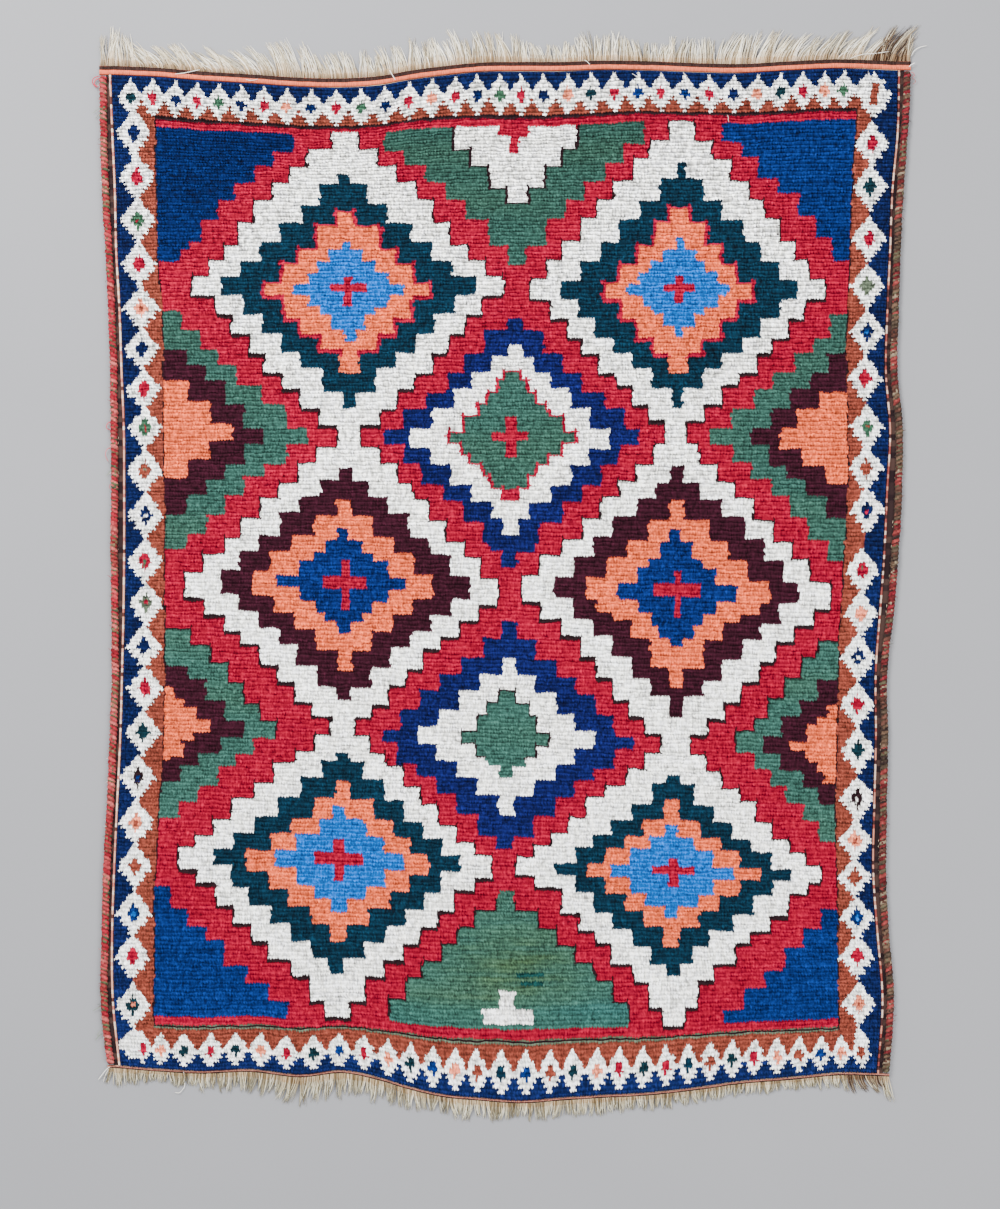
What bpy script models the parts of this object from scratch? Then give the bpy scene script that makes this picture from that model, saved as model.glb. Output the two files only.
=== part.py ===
"""Gabbeh rug: a hand-knotted wool rug lying flat, with wrapped side cords and a cut warp fringe at each end.

Metres, +Z up. The rug lies on Z = 0 with the longer fringe towards +Y, and the origin is under the middle of
its whole outline. The tables below are in millimetres from the rug's drafting point, near its middle."""

import bpy
import bmesh
import numpy as np

MM = 0.001
GAP = 0.3  # clearance between neighbouring pieces
END_GAP = 0.45  # and at the ends, where the two edges turn at different places

PILE_TOP = 9.0  # foundation and pile together
PILE_EDGE_TOP = 7.4  # the pile's outermost tufts lean out and lie lower
PILE_SHOULDER = 3.0  # how far in from the edge the pile reaches its full height
UNEVEN = 0.45  # how much the pile rises and falls as the foundation lies

CORD_WIDTH = 11.0
CORD_HEIGHT = 9.0
CORD_SHORT_OF_STRIP = 0.9  # a side cord stops this far before the end strip
WEB_HEIGHT = 2.6  # bare foundation between the edge rib and the side cord

STRIP_HEIGHT = 3.4
TOP_STRIP_WIDTH = 14.0
BOTTOM_STRIP_WIDTH = 5.0

BODY_COLUMNS = 36  # lengthwise lines inside the pile's shoulders
BODY_ROWS = 38  # crosswise lines inside the pile's shoulders
TOP_STRANDS = 104
BOTTOM_STRANDS = 92

# The long sides: height up the rug, then the pile's edge and the side cord's middle on the left and right.
SIDES = np.array([
    (-705, -568.5, -583, 565.5, 579),
    (-600, -579, -594, 572, 586),
    (-495, -580, -592, 564, 578),
    (-405, -577, -590, 558, 574),
    (-315, -573, -585, 559.5, 575),
    (-210, -568, -580.5, 562, 577),
    (-105, -565, -577.5, 562, 576),
    (-15, -563, -578, 568.5, 586),
    (75, -562, -579, 575, 593),
    (165, -562, -578, 579, 598),
    (255, -562.5, -579, 583.5, 599),
    (345, -566, -580, 577, 591),
    (435, -569, -583, 579.5, 593),
    (525, -574, -587, 583.5, 596),
    (615, -576, -592, 587, 600),
    (705, -580, -594.5, 595, 607.5),
    (795, -583.5, -596, 597, 611),
])
UP_SIDE, LEFT_PILE, LEFT_CORD, RIGHT_PILE, RIGHT_CORD = SIDES.T

# The two ends: place across the rug, then the pile's edge at the top end and at the bottom end.
ENDS = np.array([
    (-577.5, 788, -698),
    (-510, 785, -703.5),
    (-450, 780, -706.5),
    (-375, 775.5, -704),
    (-300, 770.5, -712),
    (-232, 769.5, -706),
    (-180, 773, -717),
    (-135, 781, -730.5),
    (-90, 787, -741),
    (-30, 793, -747),
    (30, 794, -751),
    (90, 794, -747),
    (150, 796, -743),
    (225, 795, -739),
    (300, 792, -730.5),
    (360, 791, -722),
    (435, 795, -716),
    (510, 798, -709),
    (592, 795, -711),
])
ACROSS_END, TOP_PILE, BOTTOM_PILE = ENDS.T

# The edge from the bare web inwards: distance out from the pile's edge, and height.
EDGE_PROFILE = (
    (3.6, WEB_HEIGHT),
    (2.9, 4.8),
    (1.5, 4.8),
    (0.8, 3.4),
    (0.0, PILE_EDGE_TOP),
)

# The fringes: place across the rug, the strands' reach past the strip, and how far their tips lean to +X.
TOP_FRINGE = np.array([
    (-597, 54, -2),
    (-555, 51, -10),
    (-518, 36, -25),
    (-442, 43, -21),
    (-375, 39, -27),
    (-300, 54, -13),
    (-195, 37, -7),
    (-68, 54, -10),
    (22, 45, -9),
    (98, 28, -2),
    (150, 45, -3),
    (210, 34, -4),
    (248, 37, 6),
    (300, 36, -4),
    (352, 49, 7),
    (435, 45, 13),
    (525, 43, 18),
    (585, 58, 25),
    (614, 45, 12),
])
BOTTOM_FRINGE = np.array([
    (-586, 27, -8),
    (-555, 25, 0),
    (-510, 16, 0),
    (-435, 31, -1),
    (-375, 27, -4),
    (-315, 42, -12),
    (-255, 39, -5),
    (-180, 35, -1),
    (-52, 29, 0),
    (180, 25, 0),
    (360, 18, 0),
    (465, 17, 1),
    (518, 25, 6),
    (555, 33, 12),
    (582, 38, 9),
])

# A fringe strand from its root: share of its reach, width as a share of the root's, and height.
TOP_STRAND = ((0.4, 0.9, 3.0), (0.78, 0.62, 2.2), (1.0, 0.2, 1.0))
BOTTOM_STRAND = ((0.6, 0.9, 2.8), (1.0, 0.4, 1.4))
ROOT_SHARE = 0.62  # a root's width as a share of the strands' spacing
REACH_WOBBLE = 0.09  # how much neighbouring strands differ in reach, as a share
LEAN_WOBBLE = 1.1  # and in lean, in millimetres


def smooth(stations, values, at):
    """The cubic curve through a table's points: each slope comes from the points on either side."""
    slopes = np.gradient(values, stations)
    at = np.clip(at, stations[0], stations[-1])
    i = np.clip(np.searchsorted(stations, at) - 1, 0, len(stations) - 2)
    span = stations[i + 1] - stations[i]
    t = (at - stations[i]) / span
    start = (1 + 2 * t) * (1 - t) ** 2 * values[i] + t * (1 - t) ** 2 * span * slopes[i]
    end = t * t * (3 - 2 * t) * values[i + 1] + t * t * (t - 1) * span * slopes[i + 1]
    return start + end


def up_rug(x, share):
    """Height up the rug at a share of the way from the bottom pile edge to the top one."""
    bottom = smooth(ACROSS_END, BOTTOM_PILE, x)
    return bottom + share * (smooth(ACROSS_END, TOP_PILE, x) - bottom)


def row_shares():
    """Shares of the way up for the body's crosswise lines: each end's edge and shoulder, and the lines between."""
    shoulder = PILE_SHOULDER / (TOP_PILE.mean() - BOTTOM_PILE.mean())
    return np.concatenate([[0.0], np.linspace(shoulder, 1 - shoulder, BODY_ROWS), [1.0]])


def unevenness(x, y):
    """Long shallow waves of the foundation, worked out as three crossing sine waves."""
    return UNEVEN * (
        0.5 * np.sin(x / 61.0 + y / 173.0)
        + 0.3 * np.sin(y / 47.0 - x / 119.0)
        + 0.2 * np.sin((x + y) / 29.0)
    )


def body_grid():
    """Places of the body's grid lines: arrays of x, y and height, with a row for each crosswise line."""
    shares = row_shares()
    y_left = up_rug(ACROSS_END[0], shares)
    y_right = up_rug(ACROSS_END[-1], shares)
    left = smooth(UP_SIDE, LEFT_PILE, y_left)
    right = smooth(UP_SIDE, RIGHT_PILE, y_right)
    to_cord = CORD_WIDTH / 2 + GAP
    columns = [(smooth(UP_SIDE, LEFT_CORD, y_left) + to_cord, WEB_HEIGHT)]
    for out, height in EDGE_PROFILE:
        columns.append((left - out, height))
    for share in np.linspace(0, 1, BODY_COLUMNS):
        inset = PILE_SHOULDER + share * (right - left - 2 * PILE_SHOULDER)
        columns.append((left + inset, PILE_TOP))
    for out, height in reversed(EDGE_PROFILE):
        columns.append((right + out, height))
    columns.append((smooth(UP_SIDE, RIGHT_CORD, y_right) - to_cord, WEB_HEIGHT))
    x = np.stack([place for place, _ in columns], axis=1)
    y = up_rug(x, shares[:, None])
    z = np.tile([height for _, height in columns], (len(shares), 1)).astype(float)
    z[z == PILE_TOP] += unevenness(x, y)[z == PILE_TOP]
    z[[0, -1]] = np.minimum(z[[0, -1]], PILE_EDGE_TOP)
    return x, y, z


def wool(name, colour):
    """A dull wool material."""
    material = bpy.data.materials.new(name)
    material.use_nodes = True
    principled = material.node_tree.nodes["Principled BSDF"]
    principled.inputs["Base Color"].default_value = (*colour, 1.0)
    principled.inputs["Roughness"].default_value = 0.9
    principled.inputs["Metallic"].default_value = 0.0
    return material


def add_object(name, data, colour, collection, parent):
    obj = bpy.data.objects.new(name, data)
    data.materials.append(wool(name, colour))
    collection.objects.link(obj)
    obj.parent = parent
    return obj


def mesh_from(bm, name):
    bmesh.ops.recalc_face_normals(bm, faces=bm.faces)
    mesh = bpy.data.meshes.new(name)
    bm.to_mesh(mesh)
    bm.free()
    return mesh


def grid_index(place, segments):
    """Which grid line a vertex of a fresh grid, which spans -1 to 1, lies on."""
    return round((place + 1) / 2 * segments)


def rug_body(grid):
    """The pile and foundation: a grid laid over the outline, walled down to a flat underside."""
    x, y, z = grid
    rows, columns = x.shape
    bm = bmesh.new()
    bmesh.ops.create_grid(bm, x_segments=columns - 1, y_segments=rows - 1, size=1.0)
    for vert in bm.verts:
        i = grid_index(vert.co.y, rows - 1)
        j = grid_index(vert.co.x, columns - 1)
        vert.co = (x[i, j] * MM, y[i, j] * MM, z[i, j] * MM)
    rim = [edge for edge in bm.edges if edge.is_boundary]
    walls = bmesh.ops.extrude_edge_only(bm, edges=rim)["geom"]
    for vert in (item for item in walls if isinstance(item, bmesh.types.BMVert)):
        vert.co.z = 0.0
    hem = [item for item in walls if isinstance(item, bmesh.types.BMEdge) and item.is_boundary]
    bmesh.ops.edgeloop_fill(bm, edges=hem)
    return mesh_from(bm, "rug_body")


def side_cord(middles, heights):
    """A wrapped edge cord: an oval tube along the side, lying on the floor, with a point at each body row."""
    curve = bpy.data.curves.new("side_cord", "CURVE")
    curve.dimensions = "3D"
    curve.bevel_depth = CORD_WIDTH / 2 * MM
    curve.bevel_resolution = 3
    curve.use_fill_caps = True
    heights = heights.copy()
    heights[0] += CORD_SHORT_OF_STRIP
    heights[-1] -= CORD_SHORT_OF_STRIP
    keep = np.concatenate([[True], np.diff(heights) > CORD_SHORT_OF_STRIP * 3])
    keep[-1] = True
    spline = curve.splines.new("POLY")
    spline.points.add(int(keep.sum()) - 1)
    for point, x, y in zip(spline.points, middles[keep], heights[keep]):
        point.co = (x * MM, y * MM, CORD_WIDTH / 2 * MM, 1.0)
    return curve


def strand_edges(start, end, count):
    """The x of each root's two edges, evenly spaced, with the strip's ends first and last."""
    spacing = (end - start) / count
    middles = start + (np.arange(count) + 0.5) * spacing
    half = ROOT_SHARE * spacing / 2
    inner = np.stack([middles - half, middles + half], axis=1).ravel()
    return np.concatenate([[start], inner, [end]])


def fringe(name, edge_x, edge_y, start, end, strip_width, strands, table, strand):
    """An end strip along the pile's edge, and its strands, each drawn out of the strip's outer wall.

    A strip width above zero runs towards +Y and one below zero towards -Y. Strand i takes its reach and lean
    from the table at its place, plus a small sine wobble, and keeps its underside on the floor."""
    lines = strand_edges(start, end, strands)
    segments = len(lines) - 1
    towards = np.sign(strip_width)
    bm = bmesh.new()
    bmesh.ops.create_grid(bm, x_segments=segments, y_segments=1, size=1.0)
    raised = bmesh.ops.extrude_face_region(bm, geom=list(bm.faces))["geom"]
    upper = {item for item in raised if isinstance(item, bmesh.types.BMVert)}
    roots = {}
    for face in bm.faces:
        if all(vert.co.y > 0 for vert in face.verts):
            columns = [grid_index(vert.co.x, segments) for vert in face.verts]
            if min(columns) % 2 == 1:
                roots[min(columns) // 2] = face
    for vert in bm.verts:
        x = lines[grid_index(vert.co.x, segments)]
        out = strip_width if vert.co.y > 0 else towards * END_GAP
        y = np.interp(x, edge_x, edge_y) + out
        vert.co = (x * MM, y * MM, STRIP_HEIGHT * MM if vert in upper else 0.0)
    places, reaches, leans = table.T
    for i in range(strands):
        face = roots[i]
        left, right = lines[2 * i + 1], lines[2 * i + 2]
        middle, width = (left + right) / 2, right - left
        root_y = np.interp(middle, edge_x, edge_y) + strip_width
        reach = np.interp(middle, places, reaches) * (1 + REACH_WOBBLE * np.sin(i * 2.4))
        lean = np.interp(middle, places, leans) + LEAN_WOBBLE * np.sin(i * 1.7)
        for share, width_share, height in strand:
            face = bmesh.ops.extrude_discrete_faces(bm, faces=[face])["faces"][0]
            centre = face.calc_center_median()
            x = middle + lean * share ** 1.4
            for vert in face.verts:
                aside = np.sign(vert.co.x - centre.x) * width * width_share / 2
                top = vert.co.z > centre.z
                vert.co = ((x + aside) * MM, (root_y + towards * reach * share) * MM, height * MM if top else 0.0)
    return mesh_from(bm, name)


def centre_outline(empty):
    """Moves the rug so that the middle of its box, seen from above, is over the origin."""
    bpy.context.view_layer.update()
    graph = bpy.context.evaluated_depsgraph_get()
    corners = []
    for obj in empty.children:
        evaluated = obj.evaluated_get(graph)
        mesh = evaluated.to_mesh()
        corners += [evaluated.matrix_world @ vert.co for vert in mesh.vertices]
        evaluated.to_mesh_clear()
    places = np.array(corners)
    middle = (places.min(axis=0) + places.max(axis=0)) / 2
    empty.location = (-middle[0], -middle[1], 0.0)


def main():
    for obj in list(bpy.data.objects):
        bpy.data.objects.remove(obj)
    collection = bpy.data.collections.new("gabbeh_rug")
    bpy.context.scene.collection.children.link(collection)
    drafting_point = bpy.data.objects.new("drafting_point", None)
    collection.objects.link(drafting_point)

    grid = body_grid()
    x, y, _ = grid
    body = rug_body(grid)
    add_object("rug_body", body, (0.42, 0.05, 0.09), collection, drafting_point)

    cords = (
        ("selvedge_left", LEFT_CORD, y[:, 0], (0.45, 0.10, 0.10)),
        ("selvedge_right", RIGHT_CORD, y[:, -1], (0.30, 0.08, 0.08)),
    )
    for name, middles, heights, colour in cords:
        curve = side_cord(smooth(UP_SIDE, middles, heights), heights)
        cord = add_object(name, curve, colour, collection, drafting_point)
        cord.scale.z = CORD_HEIGHT / CORD_WIDTH

    half = CORD_WIDTH / 2
    top = fringe("fringe_top", x[-1], y[-1], smooth(UP_SIDE, LEFT_CORD, y[-1, 0]) - half,
                 smooth(UP_SIDE, RIGHT_CORD, y[-1, -1]) + half, TOP_STRIP_WIDTH, TOP_STRANDS,
                 TOP_FRINGE, TOP_STRAND)
    add_object("fringe_top", top, (0.72, 0.68, 0.58), collection, drafting_point)
    bottom = fringe("fringe_bottom", x[0], y[0], smooth(UP_SIDE, LEFT_CORD, y[0, 0]) - half,
                    smooth(UP_SIDE, RIGHT_CORD, y[0, -1]) + half, -BOTTOM_STRIP_WIDTH, BOTTOM_STRANDS,
                    BOTTOM_FRINGE, BOTTOM_STRAND)
    add_object("fringe_bottom", bottom, (0.66, 0.63, 0.52), collection, drafting_point)

    centre_outline(drafting_point)


main()
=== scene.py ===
"""The look of the gabbeh rug: knotted pile, flat-woven ends, wrapped side cords and cut warp fringes.

Metres, +Z up, with the rug flat on Z = 0. The pattern is charted in chart units of 1.5 mm, x to the right
from the chart's left side and y down from its top. Each knot of the pile takes its dye from the chart."""

import bpy
import numpy as np
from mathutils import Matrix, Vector


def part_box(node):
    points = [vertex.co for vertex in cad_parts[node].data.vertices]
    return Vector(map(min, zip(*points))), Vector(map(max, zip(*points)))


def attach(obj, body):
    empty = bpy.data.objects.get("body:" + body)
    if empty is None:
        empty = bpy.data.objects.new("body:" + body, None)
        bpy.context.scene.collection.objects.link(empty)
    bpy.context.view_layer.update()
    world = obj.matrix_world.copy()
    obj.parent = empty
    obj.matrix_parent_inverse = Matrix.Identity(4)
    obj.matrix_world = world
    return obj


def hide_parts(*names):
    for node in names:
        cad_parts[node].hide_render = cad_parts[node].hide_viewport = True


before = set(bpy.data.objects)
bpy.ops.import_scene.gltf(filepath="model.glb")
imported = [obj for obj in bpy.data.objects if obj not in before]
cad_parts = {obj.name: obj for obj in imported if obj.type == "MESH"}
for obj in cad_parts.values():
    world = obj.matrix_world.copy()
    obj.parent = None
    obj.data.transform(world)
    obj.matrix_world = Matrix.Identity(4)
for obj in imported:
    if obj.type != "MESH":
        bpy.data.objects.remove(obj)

MM = 0.001
UNIT = 1.5  # millimetres to a chart unit
CHART_X = 500.0  # the chart's place over the drafting point
CHART_Y = 600.0
VIEW_HIGH = 1209  # chart units in the camera's view, from top to bottom

KNOTS_ACROSS = 273
TUFTS_ACROSS = 2 * KNOTS_ACROSS
ROWS = 250
BANDS = 5  # the pile is laid in bands of rows, one piece each
ROW_PITCH = ((0.0, 3.7), (0.25, 3.8), (0.45, 4.1), (1.0, 4.1))  # share of the way down, units to a row

# Heights and widths in millimetres.
PILE_TOP = 9.0
PILE_EDGE_TOP = 7.4
PILE_SHOULDER = 3.0  # how far in from its edge the pile is full height
PILE_ROOT = 5.7  # where a row's knots come up between the rows
UNEVEN = 0.45
GROUND_TOP = 2.4  # the woven ground under the pile
CORD_WIDTH = 11.0
CORD_HEIGHT = 9.0
CORD_SHORT_OF_STRIP = 0.9
GAP = 0.3  # between the ground and a side cord
END_GAP = 0.12  # between the pile and an end strip
TOP_STRIP_WIDTH = 14.0
BOTTOM_STRIP_WIDTH = 5.0

# Row coordinates: the pile's two ends, then the red stripe over the figures.
CHART_TOP = 70.0
CHART_BOTTOM = 1072.0
FIELD_TOP = 114.2
INNER_TOP = 122.2

# How the rows lie, in chart units: the reach of each end's wave into the rug, the sag of the rows by the
# top stripes (its depth, then its middle and spread across and down), and the tilt of the middle rows.
TOP_WAVE = 88
BOTTOM_WAVE = 62
SAG = 4.8
SAG_X, SAG_WIDE = 530, 95
SAG_DOWN, SAG_HIGH = 48, 34
TILT_ROWS = (437, 590, 740, 865, 950, 1030)
TILTS = (0, 0.024, 0.03, 0.03, 0.01, 0)

# The long sides, in millimetres from the drafting point: height, pile edge and cord middle, left and right.
SIDES = np.array([
    (-705, -568.5, -583, 565.5, 579),
    (-600, -579, -594, 572, 586),
    (-495, -580, -592, 564, 578),
    (-405, -577, -590, 558, 574),
    (-315, -573, -585, 559.5, 575),
    (-210, -568, -580.5, 562, 577),
    (-105, -565, -577.5, 562, 576),
    (-15, -563, -578, 568.5, 586),
    (75, -562, -579, 575, 593),
    (165, -562, -578, 579, 598),
    (255, -562.5, -579, 583.5, 599),
    (345, -566, -580, 577, 591),
    (435, -569, -583, 579.5, 593),
    (525, -574, -587, 583.5, 596),
    (615, -576, -592, 587, 600),
    (705, -580, -594.5, 595, 607.5),
    (795, -583.5, -596, 597, 611),
])
UP_SIDE, LEFT_PILE, LEFT_CORD, RIGHT_PILE, RIGHT_CORD = SIDES.T

# The two ends: place across, then the pile's edge at the top end and at the bottom end.
ENDS = np.array([
    (-577.5, 788, -698), (-510, 785, -703.5), (-450, 780, -706.5), (-375, 775.5, -704), (-300, 770.5, -712),
    (-232, 769.5, -706), (-180, 773, -717), (-135, 781, -730.5), (-90, 787, -741), (-30, 793, -747),
    (30, 794, -751), (90, 794, -747), (150, 796, -743), (225, 795, -739), (300, 792, -730.5),
    (360, 791, -722), (435, 795, -716), (510, 798, -709), (592, 795, -711),
])
ACROSS_END, TOP_PILE, BOTTOM_PILE = ENDS.T

# The fringes: place across, the strands' reach past the strip, and the tips' lean to +X, in millimetres.
TOP_FRINGE = np.array([
    (-597, 54, -2), (-555, 51, -12), (-518, 36, -29), (-442, 43, -27), (-375, 39, -33), (-300, 54, -18),
    (-195, 37, -7), (-68, 54, -10), (22, 45, -9), (98, 28, -2), (150, 45, -3), (210, 34, -4), (248, 37, 6),
    (300, 36, 2), (352, 49, 14), (435, 45, 22), (525, 43, 27), (585, 58, 31), (614, 45, 14),
])
BOTTOM_FRINGE = np.array([
    (-586, 27, -8), (-555, 25, 0), (-510, 16, 0), (-435, 31, -1), (-375, 27, -4), (-315, 42, -12),
    (-255, 39, -5), (-180, 35, -1), (-52, 29, 0), (180, 25, 0), (360, 18, 0), (465, 17, 1), (518, 25, 6),
    (555, 33, 12), (582, 38, 9),
])


def linear(colour):
    """sRGB from 0 to 255 as linear light: c / 12.92 near black, else ((c + 0.055) / 1.055) ^ 2.4."""
    c = np.asarray(colour, float) / 255
    return np.where(c <= 0.04045, c / 12.92, ((c + 0.055) / 1.055) ** 2.4)


DYES = {
    "red": (135, 1, 36),
    "ivory": (252, 251, 245),
    "teal": (9, 34, 49),
    "orange": (207, 88, 53),
    "sky": (5, 86, 167),
    "royal": (8, 30, 82),
    "corner blue": (6, 30, 79),
    "ring navy": (12, 19, 68),
    "border navy": (11, 21, 58),
    "green": (42, 74, 66),
    "brown": (44, 13, 25),
    "rust": (120, 52, 37),
    "outline": (30, 16, 20),
    "crimson": (136, 1, 38),
    "peach": (214, 120, 92),
    "dark teal": (11, 36, 44),
    "leaf": (48, 84, 64),
    "grey green": (78, 88, 72),
    "mend": (18, 58, 56),
}
DYE_NAMES = list(DYES)
DYE_LIGHT = linear([DYES[name] for name in DYE_NAMES])


def smooth(stations, values, at):
    """The cubic curve through a table's points: each slope comes from the points on either side."""
    slopes = np.gradient(values, stations)
    at = np.clip(at, stations[0], stations[-1])
    i = np.clip(np.searchsorted(stations, at) - 1, 0, len(stations) - 2)
    span = stations[i + 1] - stations[i]
    t = (at - stations[i]) / span
    start = (1 + 2 * t) * (1 - t) ** 2 * values[i] + t * (1 - t) ** 2 * span * slopes[i]
    end = t * t * (3 - 2 * t) * values[i + 1] + t * t * (t - 1) * span * slopes[i + 1]
    return start + end


def hashed(*keys):
    """An even spread from 0 to 1 for whole-number keys: the fraction left of a large sine of their mix."""
    total = 0.0
    for key, weight in zip(keys, (12.9898, 78.233, 37.719, 94.673)):
        total = total + np.asarray(key, float) * weight
    return np.mod(np.sin(total) * 43758.5453, 1.0)


def waver(x, y, seed):
    """Smooth noise from -1 to 1: hashed values on the whole numbers, with 3t^2 - 2t^3 between them."""
    x, y = np.broadcast_arrays(np.asarray(x, float), np.asarray(y, float))
    i, j = np.floor(x), np.floor(y)
    u, v = x - i, y - j
    u, v = u * u * (3 - 2 * u), v * v * (3 - 2 * v)
    near = hashed(i, j, seed) * (1 - u) + hashed(i + 1, j, seed) * u
    far = hashed(i, j + 1, seed) * (1 - u) + hashed(i + 1, j + 1, seed) * u
    return (near * (1 - v) + far * v) * 2 - 1


def drawn(lots, draw):
    """The lot that each draw from 0 to 1 falls on."""
    return lots[np.minimum((draw * len(lots)).astype(int), len(lots) - 1)]


def unevenness(x, y):
    """Long shallow waves of the ground, worked out as three crossing sine waves of millimetres."""
    long_wave = 0.5 * np.sin(x / 61.0 + y / 173.0)
    return UNEVEN * (long_wave + 0.3 * np.sin(y / 47.0 - x / 119.0) + 0.2 * np.sin((x + y) / 29.0))


def pile_side(side, up):
    """The pile's edge, in millimetres across, on side -1 (left) or 1 (right)."""
    return smooth(UP_SIDE, LEFT_PILE if side < 0 else RIGHT_PILE, up)


def cord_middle(side, up):
    """The middle of a side cord, in millimetres across."""
    return smooth(UP_SIDE, LEFT_CORD if side < 0 else RIGHT_CORD, up)


def side_ends(side):
    """The heights of the pile's two corners on a side, lower first."""
    corner = 0 if side < 0 else -1
    return BOTTOM_PILE[corner], TOP_PILE[corner]


# The lie of the rows


def end_lines(x):
    """The pile's top and bottom edges over a chart x, in chart units down."""
    across = (x - CHART_X) * UNIT
    return (
        CHART_Y - smooth(ACROSS_END, TOP_PILE, across) / UNIT,
        CHART_Y - smooth(ACROSS_END, BOTTOM_PILE, across) / UNIT,
    )


def row_lie(x, s):
    """How far down a row s lies at chart x from where it would lie if straight.

    Each end's wave dies away into the rug as exp(-(d/w)^p). The rows by the top stripes sag in the middle
    by a bell in x times a bell in s, and the middle rows tilt down to the right."""
    top, bottom = end_lines(x)
    from_top = np.maximum(s - CHART_TOP, 0)
    from_bottom = np.maximum(CHART_BOTTOM - s, 0)
    sag = SAG * np.exp(-(((x - SAG_X) / SAG_WIDE) ** 2) - ((from_top - SAG_DOWN) / SAG_HIGH) ** 2)
    return (
        (top - CHART_TOP) * np.exp(-((from_top / TOP_WAVE) ** 3))
        + (bottom - CHART_BOTTOM) * np.exp(-((from_bottom / BOTTOM_WAVE) ** 1.2))
        + sag
        + np.interp(s, TILT_ROWS, TILTS) * (x - CHART_X)
    )


def row_at(x, y):
    """The row coordinate of a place on the chart, found by putting the row's lie back in six times."""
    y = np.asarray(y, float)
    s = y.copy()
    for _ in range(6):
        s = y - row_lie(x, s)
    return s


def side_lines(y):
    """The pile's left and right edges at a chart height, in chart units across."""
    up = (CHART_Y - y) * UNIT
    return CHART_X + pile_side(-1, up) / UNIT, CHART_X + pile_side(1, up) / UNIT


def cord_lines(up, out):
    """Lines so many millimetres out from the middles of the two cords, in chart units across."""
    return (
        CHART_X + (cord_middle(-1, up) - out) / UNIT,
        CHART_X + (cord_middle(1, up) + out) / UNIT,
    )


def lay(u, s):
    """Chart place of a share u of the way across row s: x between the sides, y = s + the row's lie."""
    u, s = np.broadcast_arrays(np.asarray(u, float), np.asarray(s, float))
    y = s.copy()
    for _ in range(5):
        left, right = side_lines(y)
        x = left + u * (right - left)
        y = s + row_lie(x, s)
    return x, y


def row_edges():
    """Row coordinates of the lines between the rows: the running total of the pitch, fitted to the ends."""
    share = (np.arange(ROWS) + 0.5) / ROWS
    shares, pitches = np.array(ROW_PITCH).T
    total = np.concatenate([[0.0], np.cumsum(np.interp(share, shares, pitches))])
    return CHART_TOP + total / total[-1] * (CHART_BOTTOM - CHART_TOP)


def drafting_shift():
    """The move from the drafting point to the frame, in metres, from the rug body's box."""
    up = np.linspace(BOTTOM_PILE.min(), TOP_PILE.max(), 2000)
    up = up[(up > BOTTOM_PILE[0]) & (up < TOP_PILE[0])]
    across = np.linspace(-590, 600, 4000)
    to_cord = CORD_WIDTH / 2 + GAP
    low_x = (cord_middle(-1, up) + to_cord).min()
    high_x = (cord_middle(1, up) - to_cord).max()
    low_y = smooth(ACROSS_END, BOTTOM_PILE, across).min()
    high_y = smooth(ACROSS_END, TOP_PILE, across).max()
    low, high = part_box("rug_body")
    return (
        (low.x + high.x) / 2 - (low_x + high_x) / 2 * MM,
        (low.y + high.y) / 2 - (low_y + high_y) / 2 * MM,
    )


SHIFT_X, SHIFT_Y = drafting_shift()


def to_frame(x, y, z):
    """Chart x and y, and a height in millimetres, as metres in the frame, stacked on a last axis."""
    x, y, z = np.broadcast_arrays(x, y, z)
    return np.stack(
        [(x - CHART_X) * UNIT * MM + SHIFT_X, (CHART_Y - y) * UNIT * MM + SHIFT_Y, z * MM], axis=-1
    )


def drafted(across, up, z):
    """Millimetres from the drafting point as metres in the frame."""
    return to_frame(CHART_X + across / UNIT, CHART_Y - up / UNIT, z)


def camera():
    """Looks straight down on the chart's middle from five metres, with 1000 by 1209 chart units in view."""
    data = bpy.data.cameras.new("camera")
    obj = bpy.data.objects.new("camera", data)
    bpy.context.scene.collection.objects.link(obj)
    data.lens = 100.0
    data.sensor_width = 36.0
    data.clip_end = 20.0
    middle = to_frame(CHART_X, VIEW_HIGH / 2, 5.0)
    away = VIEW_HIGH * UNIT * MM * data.lens / data.sensor_width
    obj.location = (middle[0], middle[1], middle[2] + away)
    bpy.context.scene.camera = obj


camera()
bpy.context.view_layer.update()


# The chart


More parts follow.
